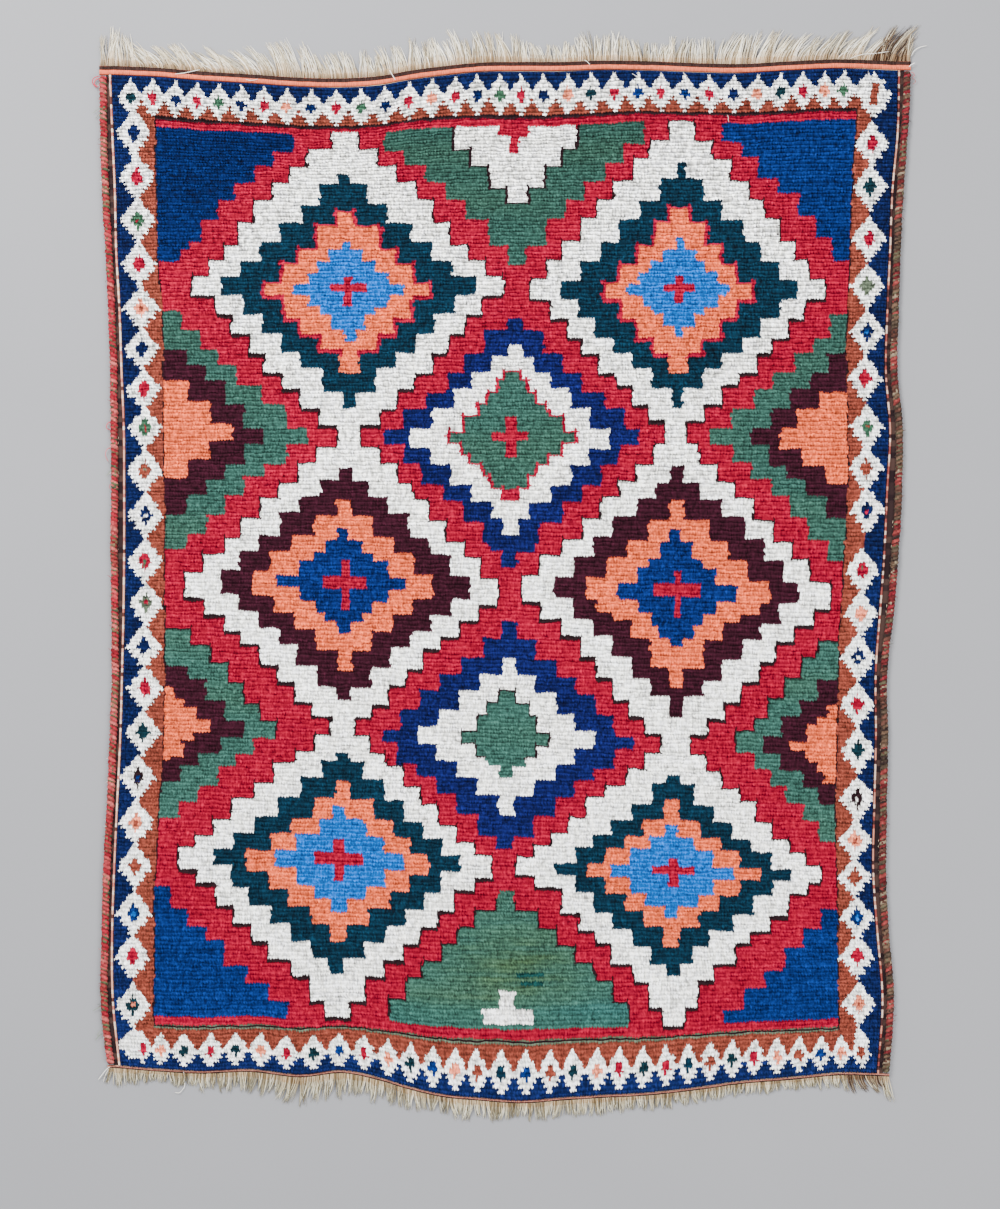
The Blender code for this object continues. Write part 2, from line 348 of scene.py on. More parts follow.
class Chart:
    """The dye of every tuft, two to a knot: rows down, tufts across, painted over one figure at a time."""

    def __init__(self):
        edges = row_edges()
        self.s = ((edges[:-1] + edges[1:]) / 2)[:, None]
        tufts = np.arange(TUFTS_ACROSS)
        self.u = ((tufts + 0.5) / len(tufts))[None, :]
        self.x, self.y = lay(self.u, self.s)
        self.s = np.broadcast_to(self.s, self.x.shape)
        rows = np.arange(ROWS)[:, None]
        self.row = np.broadcast_to(rows, self.x.shape)
        self.tuft = np.broadcast_to(tufts[None, :], self.x.shape)
        self.knot = self.tuft // 2
        self.straggle = 1.5 * waver(self.x / 26.0, rows * 1.0, 7) + 0.7 * (hashed(rows, 3) - 0.5)
        self.dye = np.zeros(self.x.shape, int)
        self.field = np.zeros(self.x.shape, bool)
        self.lozenge = np.zeros(self.x.shape, bool)
        self.last_line = np.zeros(self.x.shape, bool)

    def paint(self, mask, dye):
        self.dye[mask] = DYE_NAMES.index(dye)

    def has(self, *names):
        """Where the chart has any of these dyes."""
        return np.isin(self.dye, [DYE_NAMES.index(name) for name in names])

    def paint_lozenge(self, mask):
        """Ivory whose row ends are drawn to a point."""
        self.paint(mask, "ivory")
        self.lozenge |= mask

    def steps(self, axis, figure):
        """A stepped figure: its top y, then levels of (lower y, left, right), the y as on its axis."""
        top, *levels = figure
        levels = np.array(levels, float)
        bounds = row_at(axis, np.concatenate([[top], levels[:, 0]]))
        k = np.searchsorted(bounds, self.s, side="right") - 1
        inside = (k >= 0) & (k < len(levels))
        k = np.clip(k, 0, len(levels) - 1)
        x = self.x + self.straggle
        return inside & (x >= levels[k, 1]) & (x < levels[k, 2])

    def between(self, axis, top, bottom):
        """The rows between two heights on an axis."""
        low, high = row_at(axis, [top, bottom])
        return (self.s >= low) & (self.s < high)

    def cross(self, axis, vertical, horizontal):
        """A plain cross: an upright (left, right, top, bottom) and a bar in the same order."""
        mask = np.zeros(self.x.shape, bool)
        for left, right, top, bottom in (vertical, horizontal):
            mask |= self.between(axis, top, bottom) & (self.x >= left) & (self.x < right)
        return mask


def grown(mask, tufts=1):
    """The mask and every tuft within one row and so many tufts of it."""
    padded = np.pad(mask, ((1, 1), (tufts, tufts)))
    rows, columns = mask.shape
    out = mask.copy()
    for i in range(3):
        for j in range(2 * tufts + 1):
            out |= padded[i:i + rows, j:j + columns]
    return out


def shrunk(mask, tufts=1):
    return ~grown(~mask, tufts)


# The figures, in chart units: a ring is its top y, then levels of (lower y, left x, right x), the y as they
# lie on the figure's axis. A cross is its upright and its bar, each (left, right, top, bottom).
UPPER_LEFT = {
    "axis": 347,
    "ivory": (134, (151, 332, 357), (169, 307, 376), (186, 291, 395), (202, 273, 417), (223, 254, 432),
              (245, 239.5, 449), (262, 225, 467), (279, 210, 485), (297, 193, 503), (316.5, 216, 481),
              (335, 232, 464), (353.5, 250, 448), (372, 265, 431), (389, 283, 414), (408, 301, 397),
              (426, 319, 379), (448.5, 339, 359.5)),
    "teal": (174, (186, 337, 350), (204, 319, 368), (224, 302, 388), (244, 280, 411), (261, 260, 432),
             (279, 240, 453), (297, 221, 476), (316.5, 243, 455), (335, 262.5, 435), (353.5, 281, 416.5),
             (370, 300, 397), (391.6, 322, 376), (410, 342.5, 355.7)),
    "orange": (208, (225, 335, 356), (245, 314, 382), (262, 296, 398), (281, 280, 415), (301.5, 262, 432.5),
               (322, 282.5, 414.3), (340, 299, 397.5), (353, 318, 379.4), (374.5, 340, 359)),
    "sky": (243, (249, 343, 350), (262, 329, 362), (273, 318, 375), (284, 308, 388), (295.5, 293, 405),
            (307, 308, 387.5), (317, 320, 375.5), (329.7, 332, 365.7), (341, 345, 355)),
    "cross": ((344, 352, 276, 306), (330, 367, 286, 293)),
}
UPPER_RIGHT = {
    "axis": 678,
    "ivory": (124, (143, 670, 694), (162, 650, 711), (182, 634, 729), (200, 614, 748), (222, 598, 763),
              (243, 581, 778), (262, 563, 794), (280, 548, 808), (299.5, 530.5, 825), (320, 551.6, 803.3),
              (338, 568, 787), (355.5, 583, 771.5), (372.4, 600, 754.7), (386, 617, 738.3),
              (406.5, 633, 721), (423, 650, 704), (447, 666, 686)),
    "teal": (165, (180, 677, 686), (200, 660, 704), (221, 640, 722), (243, 619, 743), (261, 600, 760),
             (280, 580, 779), (299.5, 561, 798), (320, 578, 780), (338, 594, 760), (354.5, 613.5, 743),
             (371, 632, 722), (390, 651.5, 703.7), (408.6, 671.6, 683)),
    "orange": (204, (221, 668, 691), (244, 652, 708), (262, 635, 723), (281, 617, 738), (303, 602, 754),
               (324, 619, 738), (341, 634.5, 723), (357.4, 651.5, 704.6), (374, 668.5, 687)),
    "sky": (240, (252, 676, 683), (263, 663, 695), (273, 650, 706), (285, 639, 717), (295.5, 627.5, 728),
            (307.5, 643, 717.6), (317, 652.6, 705), (327, 662.7, 695), (339, 674.6, 682)),
    "cross": ((675, 683, 279, 303), (664, 694, 286, 293)),
}
MIDDLE_LEFT = {
    "axis": 344,
    "ivory": (449, (465.5, 317, 379), (484.7, 300, 397), (502, 279.4, 412), (521.6, 261.4, 428.5),
              (540.3, 241.5, 445), (558, 225, 463), (577, 205, 480), (600.5, 185.8, 498),
              (616.7, 205.6, 478), (633, 225, 458), (649, 241.5, 440.5), (666.5, 260.7, 422.4),
              (684.3, 278, 406), (702.7, 295.5, 388), (717.3, 312.5, 371), (738, 332, 354)),
    "brown": (467, (480, 337.5, 352.4), (498, 320.4, 369), (515, 299, 388.6), (536, 279.4, 409.6),
              (554, 258.2, 429.4), (574, 239.2, 450.4), (598.5, 221, 470.8), (614.3, 239, 451.8),
              (630, 257.6, 431.7), (647.5, 279, 411), (668, 296, 391.4), (687, 317.3, 370.7),
              (702.2, 336.5, 350.7)),
    "orange": (502.3, (517, 337.4, 351.8), (536, 314.4, 372.3), (555, 292.2, 393.5), (574, 270.4, 414),
               (596.5, 252.5, 432), (613, 275, 412), (628.7, 294.7, 392.5), (652, 316, 371.8),
               (670, 338, 351.5)),
    "royal": (529, (540, 337.7, 348.2), (551.3, 325, 362), (562, 314, 373.6), (577, 298.6, 388.6),
              (591, 277.4, 407), (603.5, 300, 389), (614, 317, 372), (624, 325.5, 363), (634, 337.7, 351)),
    "cross": ((341.5, 349.5, 562.6, 608.7), (323.3, 366.5, 577, 588)),
}
MIDDLE_RIGHT = {
    "axis": 677,
    "ivory": (447, (464.5, 654.8, 698), (484, 637, 716), (501.3, 619.7, 734), (520.5, 601, 752.4),
              (541, 583.8, 772), (559.5, 561.7, 791.6), (580.5, 541.3, 809.5), (604.5, 522.7, 830),
              (621.5, 541.3, 813), (640, 561.8, 794), (659.5, 581.7, 774.5), (678.7, 597.7, 758.3),
              (699.5, 613.5, 740), (718, 629.6, 723), (733, 645.3, 706.3), (757, 662, 690)),
    "brown": (467, (482, 670, 684), (499.7, 654.8, 700), (518.6, 636.8, 722.4), (540, 612, 744.9),
              (559, 592.7, 764.6), (581.5, 573.5, 783.5), (603.5, 554, 798.7), (621.5, 573.5, 779.9),
              (640, 592.8, 760.7), (659.5, 612.4, 743), (679, 631.4, 722.5), (699, 650.6, 703.2),
              (719.6, 669.5, 683.5)),
    "orange": (500, (519.8, 669.9, 684.2), (541, 648, 709), (560, 628.2, 728.4), (582, 607, 747.6),
               (601.5, 586.6, 769), (614.5, 595.9, 759), (622, 612, 741), (640.5, 631, 722.4),
               (667.5, 650.6, 703.6), (688, 669.5, 683.5)),
    "royal": (531.7, (543, 669.9, 680.6), (558.3, 660.5, 692), (569, 650, 703), (584.5, 637.5, 716),
              (600.5, 617.8, 736.8), (614, 637.5, 716.5), (625, 651.5, 702.7), (637.3, 657.8, 693.7),
              (647.8, 669.9, 683)),
    "cross": ((674.5, 680.6, 571, 618), (653.7, 700.4, 585.5, 596)),
}
LOWER_LEFT = {
    "axis": 340,
    "ivory": (738, (752.7, 314.3, 367.6), (768, 296.7, 385), (786.5, 274.2, 402.6), (804, 254, 419.3),
              (823, 232.4, 437), (838.5, 214.5, 455.5), (854.5, 196.5, 474), (872, 179, 491),
              (887, 197.4, 474), (909.6, 217, 453.5), (926.7, 234.2, 436.7), (940.7, 252, 419.6),
              (960, 270, 402.6), (974.5, 292, 383.4), (1000.3, 310.5, 365.2), (1016.4, 325.4, 348.7)),
    "teal": (754.7, (763, 335.8, 349.3), (780.4, 321.8, 363.4), (800.5, 300.3, 384.3), (820, 277.8, 403.5),
             (835, 253.6, 423.2), (852, 233.5, 442), (871, 214, 461), (889, 231, 441.2), (907.5, 249, 425),
             (924.5, 270.6, 405.3), (941, 289.9, 385.2), (959, 312, 364), (975, 329, 344.2)),
    "orange": (781.3, (800.7, 335, 349.3), (819.2, 314.3, 373.9), (834.5, 291.3, 393), (852.9, 270, 409.8),
               (872.2, 246, 428.6), (889.5, 269.2, 409.2), (908.8, 289, 389.7), (924.7, 311.6, 367.6),
               (943, 330.4, 346)),
    "sky": (806.4, (818.3, 333, 345.5), (835.3, 319.5, 365.8), (853.3, 296.3, 384.6), (871.5, 274.8, 403.5),
            (885.6, 296.3, 385), (901.2, 313.7, 365.4), (914, 331, 347)),
    "cross": ((334, 344.4, 838.4, 882.7), (314.3, 363, 854, 866.5)),
}
LOWER_RIGHT = {
    "axis": 672,
    "ivory": (757, (772.4, 645.8, 705.3), (787.3, 626.8, 720.3), (802.7, 605.5, 737.8), (821, 586.4, 754.7),
              (838.6, 569.6, 771), (851.3, 551.6, 788.3), (864.5, 534.8, 804), (879.7, 516.8, 820.8),
              (892.7, 535.4, 807.4), (915.3, 561.7, 788.3), (931.9, 580.3, 768.6), (945.3, 597, 750),
              (964.6, 612, 734.5), (980.5, 632.4, 713), (1007.5, 649.9, 697), (1026, 663.3, 684)),
    "teal": (774, (785, 666, 680.8), (802.9, 652, 694), (820.5, 631.3, 713.6), (838.3, 610.4, 732.2),
             (850.8, 591.5, 751.7), (866, 575.8, 772), (879, 555, 790.6), (894, 574, 772.2),
             (913.3, 593, 753.5), (930, 612.2, 732.9), (946, 631.3, 709.8), (963.3, 650.8, 693.4),
             (979.3, 665.6, 680)),
    "orange": (802, (820.4, 663.8, 678.8), (837.5, 643, 700.8), (850, 625.2, 720.3), (865.9, 605.5, 739.6),
               (879.5, 587.5, 760.3), (896.6, 606, 739.6), (912.3, 625, 719.4), (928.6, 643.6, 698.6),
               (946.3, 663.3, 678.8)),
    "sky": (827.4, (839, 665.6, 677.2), (850.2, 650.8, 694.7), (865.9, 630.6, 713.2), (879.9, 611, 734.5),
            (893.8, 630.8, 713.2), (906.2, 645.8, 697), (920, 664.5, 677.7)),
    "cross": ((667.8, 678, 856.6, 889), (651.4, 695.2, 867.5, 877)),
}
UPPER_CENTRE = {
    "axis": 512,
    "ring navy": (318.5, (330.5, 507.5, 523), (356, 484, 543.7), (372.3, 464.4, 562.8), (391.5, 447.7, 582),
                  (408, 425.8, 604.8), (429, 403, 624.5), (447, 383.6, 638.5), (467, 403.3, 619.7),
                  (485.3, 421.3, 601.7), (503.5, 442.3, 582), (523, 463, 562.8), (543, 482.9, 538.9),
                  (550.5, 489.5, 534.4), (570, 502, 517.3)),
    "ivory": (345, (357.5, 508.4, 522.7), (374, 491.7, 533.9), (391, 472, 550), (408.6, 454.5, 570.6),
              (430, 432.6, 590), (448, 409.6, 609), (467, 430.8, 589), (485.5, 451.3, 570.3),
              (504.5, 471.6, 550.5), (519.3, 492, 529.5), (537, 502.6, 518.2)),
    "crimson": (371, (377, 502, 521), (390.7, 495.8, 530), (403, 486.3, 538.3), (412, 475, 549.6),
                (427.8, 461, 565), (444.5, 446.4, 577.5), (456, 460.2, 563), (467, 468.9, 549.6),
                (480, 481, 538), (491, 489, 530.4), (503.8, 500.6, 518.6)),
    "cross": ((505.7, 516.4, 415.8, 457), (491.3, 528.6, 432.5, 443.3)),
}
LOWER_CENTRE = {
    "axis": 507,
    "ring navy": (622, (638, 501, 516.7), (658, 483.8, 536.6), (675, 461.3, 556.5), (694.3, 439.7, 575.6),
                  (713, 419.8, 595.5), (732.5, 399.9, 614), (747, 382.6, 634.4), (765, 397.3, 614),
                  (779, 416.3, 593.7), (796.7, 436.8, 573.8), (816, 456.2, 554.8), (835.5, 477, 534),
                  (849, 496.3, 512.4)),
    "ivory": (659.3, (674.5, 502.4, 515.9), (694, 480, 535.2), (713.7, 459.3, 556.5), (731.8, 438, 574.7),
              (747.5, 417.2, 594.3), (763, 436.8, 573.8), (779.5, 456.2, 555.7), (796.8, 477, 534.9),
              (817.7, 498.5, 513.6)),
    "outline": (690.5, (701.7, 498.5, 516.7), (713.8, 486, 528.8), (728.5, 477.3, 537.5),
                (746.7, 461.7, 550.5), (759.5, 475.7, 537.5), (768.4, 486.4, 525.4), (779.3, 499, 513.3)),
}
TOP_TRIANGLE = (118, (148, 384, 644), (165, 404, 624), (183, 425, 605), (200, 446, 584), (222, 466, 565),
                (245, 488, 546), (265, 508, 526))
TOP_VEE = (118, (148, 454, 576), (165, 472, 560), (185, 491, 543), (201, 508, 526))
TOP_NOTCH = (118, (137, 498, 529), (153.5, 509.5, 519))
BOTTOM_TRIANGLE = (892, (912.7, 498, 514), (930, 475, 537.5), (947, 458, 556), (965, 442, 574),
                   (982.5, 424, 594), (1005, 407, 612), (1030, 390.5, 628.5))
BOTTOM_BLOCK = (994, (1009, 499, 514), (1024, 482, 533))
MENDS = ((517, 544, 972, 976.5), (521, 543, 982, 986.5))  # left, right, upper y and lower y

# Half figures on the field's sides: the top y, then levels of (lower y, inner x).
SIDE_FIGURES = {
    "left": {
        "axis": 225,
        "green": (313.5, (331, 182), (350, 200.5), (365, 218), (385, 236.5), (405, 261.5), (428, 286),
                  (446, 308), (463, 286.5), (478, 264), (496, 244), (516, 225), (534, 206.5), (549.5, 187)),
        "brown": (349, (364, 188), (383, 206.5), (404, 226), (428.5, 244.3), (445, 263), (463, 244.5),
                  (480, 225.5), (496, 206.3), (514, 186.5)),
        "orange": (383, (402, 189), (425, 210.3), (443, 232.3), (462, 209), (480.5, 187.8)),
    },
    "left below": {
        "axis": 215,
        "green": (633, (648, 190.5), (665, 209.4), (684, 227), (703, 243), (720.8, 258.5), (737, 275),
                  (753.5, 253.5), (767.5, 236), (786, 218.6), (804, 198), (819, 180)),
        "brown": (667, (682, 187.6), (701, 206), (720, 224.7), (736.5, 244), (752, 221.5), (766, 199),
                  (784, 181)),
        "orange": (688, (699, 174), (709, 184), (719.5, 196), (731.5, 211), (743, 194), (757, 182.5),
                   (763, 170)),
    },
    "right": {
        "axis": 780,
        "green": (316.5, (337, 829.8), (356, 812.5), (373, 794.6), (390.5, 772.6), (407.5, 753.5),
                  (428, 731), (447.5, 709.8), (464.5, 732), (481, 752), (499, 771), (519, 790),
                  (540, 808), (560, 826.6)),
        "brown": (356, (372, 827.6), (390.5, 810.3), (409.5, 790), (430, 770.4), (447, 750.2), (465, 769.2),
                  (481, 787), (499, 805), (520, 825.7)),
        "orange": (393, (410.5, 819.7), (430.8, 797.3), (448.3, 779.8), (466, 801.8), (486, 826)),
    },
    "right below": {
        "axis": 785,
        "green": (642, (660.5, 818), (680.5, 803.2), (700.5, 785.8), (719.5, 769), (735.5, 753.9),
                  (755, 736.8), (772, 753.5), (786.5, 771), (805.5, 785), (822.5, 802.9), (839.7, 818.6)),
        "brown": (681, (699, 816.7), (718.5, 800.5), (736, 781), (753, 762.8), (771, 781), (786.5, 802),
                  (804, 818.4)),
        "orange": (704, (717.5, 827.5), (727, 816.3), (741, 806), (750, 789.8), (761, 807), (772.5, 817.5),
                   (782.5, 823.5)),
    },
}
# The blue corners: which side, the axis their heights were charted on, the top y and the levels.
CORNERS = (
    ("left", 230, (118, (151, 294), (166, 274), (183, 254), (200, 235), (220, 218), (243, 201), (252, 190),
                        (262, 181))),
    ("right", 780, (118, (141, 722), (157, 742), (178, 759), (195, 779), (217, 798), (240, 815),
                    (263, 832))),
    ("left", 220, (887, (908, 171), (926, 188), (942, 206.5), (967, 224), (982.5, 247), (1002, 268.5),
                        (1019, 288.5))),
    ("right", 780, (909, (929, 821.3), (946, 803.3), (971, 785), (987, 764.7), (1008, 744), (1025, 723.2))),
)
FIELD_LEFT = ((100, 155.7), (200, 157), (260, 159), (300, 162), (350, 163.5), (430, 164.5), (560, 165.5),
              (700, 165.5), (760, 163.5), (800, 160.4), (850, 157.5), (900, 154.8), (1030, 154.6))
FIELD_RIGHT = ((100, 855.8), (140, 854), (200, 850.4), (290, 847.5), (350, 846), (480, 848), (560, 843),
               (640, 838), (760, 836), (830, 834.5), (900, 837), (1030, 838))

# The border's lozenges: place, the dye of the small diamond, and of its middle where it has one.
LEFT_LOZENGES = (
    (134, 134, "border navy"), (137, 178, "crimson"), (138, 221, "leaf", "crimson"), (139, 265, "crimson"),
    (141, 309, "peach", "rust"), (142, 350, "border navy"), (144, 390, "crimson"),
    (145, 429, "leaf", "crimson"), (145, 471, "rust", "grey green"), (146, 516, "border navy", "ivory"),
    (145, 562, "crimson", "leaf"), (146, 604, "grey green", "crimson"), (144, 647, "border navy"),
    (145, 689, "crimson"), (143, 733, "dark teal"), (138, 778, "outline", "corner blue"),
    (136, 823, "peach", "rust"), (135, 867, "rust", "rust"), (134, 914, "corner blue", "sky"),
    (133, 957, "red"), (133, 1006, "dark teal", "peach"), (134, 1045, "ivory"),
)
RIGHT_LOZENGES = (
    (872, 145, "crimson"), (870, 188, "dark teal"), (869, 240, "crimson"), (867, 287, "grey green"),
    (867, 333, "border navy", "sky"), (865, 379, "red"), (867, 428, "leaf", "rust"), (866, 469, "rust"),
    (867, 511, "border navy", "crimson"), (862, 571, "crimson", "leaf"), (861, 614, "peach"),
    (858, 658, "border navy", "ivory"), (857, 705, "red"), (858, 751, "dark teal"),
    (857, 799, "outline", "ivory"), (855, 841, "peach", "rust"), (855, 878, "rust"),
    (857, 918, "corner blue", "sky"), (857.5, 957, "red"), (859, 1004, "peach", "rust"),
)
TOP_LOZENGES = (
    (131, "dark teal"), (153, "crimson"), (175.5, "border navy"), (197, "crimson"), (219, "leaf"),
    (241, "border navy"), (264, "crimson"), (287, "peach"), (311, "corner blue"), (336, "crimson"),
    (361, "leaf"), (385, "corner blue"), (409, "crimson"), (432, "peach"), (455, "crimson"),
    (477, "corner blue"), (500, "leaf"), (521, "crimson"), (544, "border navy"), (568, "peach"),
    (591, "dark teal"), (614, "crimson"), (638, "corner blue"), (661, "crimson"), (685, "corner blue"),
    (709, "crimson"), (733.5, "border navy"), (757, "peach"), (780, "dark teal"), (803, "crimson"),
    (825, "peach"), (844, "leaf"), (868, "ivory"),
)
BOTTOM_LOZENGES = (
    (143, "crimson"), (161, "peach"), (184, "dark teal"), (211, "crimson"), (236, "dark teal"),
    (261, "peach"), (286, "crimson"), (313, "dark teal"), (339, "corner blue"), (364, "crimson"),
    (388, "peach"), (410, "dark teal"), (433, "corner blue"), (455, "peach"), (477, "rust"),
    (501, "teal"), (526, "corner blue"), (550, "rust"), (573, "dark teal"), (597, "peach"),
    (619, "crimson"), (643, "dark teal"), (666, "crimson"), (688, "teal"), (710, "rust"),
    (732, "dark teal"), (754, "crimson"), (777, "peach"), (799, "rust"), (821, "corner blue"),
    (841, "peach"), (861, "rust"),
)
TOP_CHAIN = 93.0  # row coordinates of the chains of lozenges at the two ends
BOTTOM_CHAIN = 1052.5
# A side's lozenges, their reach past the waist and the most half the last one's height may be. Then an
# end's lozenges, their chain, half the height over which they join and half their gems' width.
SIDE_CHAINS = ((LEFT_LOZENGES, 16.6, 15.0), (RIGHT_LOZENGES, 16.2, 20.0))
END_CHAINS = ((TOP_LOZENGES, TOP_CHAIN, 3.6, 7.0), (BOTTOM_LOZENGES, BOTTOM_CHAIN, 1.6, 6.2))
WAIST = 1.7  # half the width of a side chain where two lozenges meet
TALLEST_HALF = 22
END_LOZENGE_HEIGHT = 18.4  # from a chain's middle to its lozenges' points
SIDE_GEM_WIDTH, SIDE_GEM_HEIGHT = 7.6, 9.8  # half the width and the height of the small diamonds
END_GEM_HEIGHT = 6.6
GEM_MIDDLE = 0.3  # the share of a gem that its middle takes


def paint_border(chart):
    """Navy outside and rust inside a chain of lozenges that runs round the rug.

    A side lozenge covers |dx| < waist + reach * (1 - |dy| / half), and an end one covers
    |dx| < half * ((height - |ds|) / (height - join)) ^ 0.85. Every other row reaches a little further out,
    with a hashed straggle added for each row. A gem covers |dx| / its width + |dy| / its height < 1."""
    x, y, s = chart.x, chart.y, chart.s
    inside = (s >= TOP_CHAIN) & (s <= BOTTOM_CHAIN)
    for lozenges, side in ((LEFT_LOZENGES, 1), (RIGHT_LOZENGES, -1)):
        chain = np.interp(y, [row[1] for row in lozenges], [row[0] for row in lozenges])
        inside = inside & (side * (x - chain) > 0)
    chart.paint(np.ones(x.shape, bool), "border navy")
    chart.paint(inside, "rust")

    spikes = [1.5 * (chart.row % 2) - 0.7 + (hashed(chart.row, key) - 0.5) * 1.9 for key in (11, 29)]
    for lozenges, reach, last_half in SIDE_CHAINS:
        halves = np.minimum(np.gradient([float(row[1]) for row in lozenges]) / 2, TALLEST_HALF)
        halves[-1] = min(halves[-1], last_half)
        for (cx, cy, dye, *middle), half in zip(lozenges, halves):
            dx, dy = x - cx, np.abs(y - cy)
            near = dy < half + 1
            width = WAIST + reach * np.maximum(1 - dy / half, 0)
            spike = np.where(dx < 0, *spikes) * (dy < half - 2)
            chart.paint_lozenge(near & (np.abs(dx) < width + spike))
            gem = np.abs(dx) / SIDE_GEM_WIDTH + dy / SIDE_GEM_HEIGHT
            chart.paint(near & (gem < 1), dye)
            if middle:
                chart.paint(near & (gem < GEM_MIDDLE), middle[0])

    for lozenges, chain, join, gem_width in END_CHAINS:
        ds = np.abs(s - chain)
        near = (ds < END_LOZENGE_HEIGHT) & (s < CHART_BOTTOM - 4)
        taper = (np.maximum(END_LOZENGE_HEIGHT - ds, 0) / (END_LOZENGE_HEIGHT - join)) ** 0.85
        halves = np.gradient([float(row[0]) for row in lozenges]) / 2
        for (cx, dye), half in zip(lozenges, halves):
            dx = x + chart.straggle * 0.4 - cx
            spike = np.where(dx < 0, *spikes) * 0.6
            chart.paint_lozenge(near & (np.abs(dx) < np.minimum(half * taper + spike, half + 1)))
            chart.paint(near & (np.abs(dx) / gem_width + ds / END_GEM_HEIGHT < 1), dye)


def paint_right_corners(chart):
    """The upper corner's spiky lozenge with its slanted rust bar, and the neck into the lower corner."""
    x, y = chart.x, chart.y
    spike = (hashed(chart.row, 37) - 0.5) * 5
    dx, dy = np.abs(x - 874), np.abs(y - 96)
    chart.paint_lozenge((dx < 18 + spike - dy * 0.62) & (dy < 23))
    slant = 876 - (y - 86) * 0.17
    chart.paint((np.abs(x - slant) < 3.9) & (y > 85) & (y < 108), "rust")
    neck = 858 + 0.3 * (y - 1028)
    half = 2.2 + np.maximum(y - 1030, 0) * 0.55 + spike * 0.3
    chart.paint_lozenge((np.abs(x - neck) < half) & (y > 1020) & (y < 1044))


def paint_field(chart):
    """Red ground between the two end stripes, with a thin dark line round it and a grey one at its foot."""
    bottom = row_at(400, 1032.5)
    left = np.interp(chart.y, *np.array(FIELD_LEFT).T)
    right = np.interp(chart.y, *np.array(FIELD_RIGHT).T)
    across = (chart.x > left) & (chart.x < right)
    chart.field = across & (chart.s > FIELD_TOP) & (chart.s < bottom)
    edge = grown(chart.field) & ~chart.field
    ends = edge & ((chart.s <= FIELD_TOP) | (chart.s >= bottom))
    sides = edge & ~ends & (hashed(chart.row, 5) > 0.25)
    chart.paint(ends | sides, "outline")
    chart.last_line = edge & (chart.s > bottom) & across
    chart.paint(chart.last_line, "grey green")
    chart.paint(chart.field, "red")


def from_side(left, figure):
    """A figure's top y and levels of (lower y, inner x) as steps from the rug's left side or its right."""
    top, *levels = figure
    return [top, *((y, 0, x) if left else (y, x, 1000) for y, x in levels)]


def paint_side_figures(chart, inner):
    """The blue corners and the half figures, the lower of them with a dark line over the green."""
    for side, axis, levels in CORNERS:
        chart.paint(chart.steps(axis, from_side(side == "left", levels)) & inner, "corner blue")
    for name, figure in SIDE_FIGURES.items():
        axis = figure["axis"]
        for dye in ("green", "brown", "orange"):
            mask = chart.steps(axis, from_side(name.startswith("left"), figure[dye])) & chart.field
            if dye == "green" and name.endswith("below"):
                top, widest = figure[dye][0], figure[dye][6][0]
                upper = chart.between(axis, top - 5, widest)
                chart.paint(grown(mask) & upper & chart.field, "outline")
            chart.paint(mask, dye)


def paint_triangles(chart, inner):
    """The green triangle with its vee at the top, and the one with its small block at the bottom."""
    top, bottom = 514, 507  # the axes that they are charted on
    chart.paint(chart.steps(top, TOP_TRIANGLE) & inner, "green")
    vee = chart.steps(top, TOP_VEE) & inner
    chart.paint(grown(vee, 2) & inner, "outline")
    chart.paint(vee, "ivory")
    chart.paint(chart.steps(top, TOP_NOTCH) & chart.field, "red")
    base = chart.steps(bottom, BOTTOM_TRIANGLE) & chart.field
    outlined = grown(base) & chart.field & chart.between(bottom, 900, 1026) & ~base
    chart.paint(outlined, "outline")
    chart.paint(base, "green")
    for left, right, upper, lower in MENDS:
        chart.paint(chart.between(bottom, upper, lower) & (chart.x > left) & (chart.x < right), "mend")
    chart.paint(chart.steps(bottom, BOTTOM_BLOCK) & chart.field, "ivory")


def paint_centres(chart):
    """The two small diamonds: rings from the outside in, then green inside the innermost thin line."""
    for figure in (UPPER_CENTRE, LOWER_CENTRE):
        for dye in ("ring navy", "ivory", "crimson", "outline"):
            if dye in figure:
                mask = chart.steps(figure["axis"], figure[dye])
                chart.paint(mask, dye)
        if figure is UPPER_CENTRE:
            inside = shrunk(chart.steps(512, figure["crimson"]), 2)
            chart.paint(inside & (chart.s < row_at(512, 492)), "green")
            chart.paint(chart.cross(512, *figure["cross"]), "red")
        else:
            chart.paint(shrunk(mask) | (mask & chart.between(507, 759.5, 780)), "green")


def paint_diamonds(chart):
    """The six large diamonds. All their outlines come first, so that none crosses another's ivory."""
    diamonds = (UPPER_LEFT, UPPER_RIGHT, MIDDLE_LEFT, MIDDLE_RIGHT, LOWER_LEFT, LOWER_RIGHT)
    under_stripe = chart.field & (chart.s > FIELD_TOP + 4.6)
    for figure in diamonds:
        chart.paint(grown(chart.steps(figure["axis"], figure["ivory"])) & under_stripe, "outline")
    for figure in diamonds:
        axis = figure["axis"]
        for dye in [key for key in figure if key not in ("axis", "cross")]:
            mask = chart.steps(axis, figure[dye]) & under_stripe
            if dye == "orange" and figure in (UPPER_LEFT, UPPER_RIGHT):
                chart.paint(mask, "crimson")
                mask = shrunk(mask, 2) | (mask & chart.between(axis, 357, 376))
            chart.paint(mask, dye)
        chart.paint(chart.cross(axis, *figure["cross"]), "red")


def paint_chart():
    """The whole chart, from the border inwards."""
    chart = Chart()
    paint_border(chart)
    paint_right_corners(chart)
    paint_field(chart)
    inner = chart.field & (chart.s > INNER_TOP) & (chart.s < row_at(400, 1025.0))
    paint_side_figures(chart, inner)
    paint_triangles(chart, inner)
    paint_centres(chart)
    paint_diamonds(chart)
    return chart


# The dyes on the wool


def toned(colour, mask, factor):
    """The colours with those in the mask multiplied by a factor."""
    return np.where(mask[..., None], colour * factor, colour)


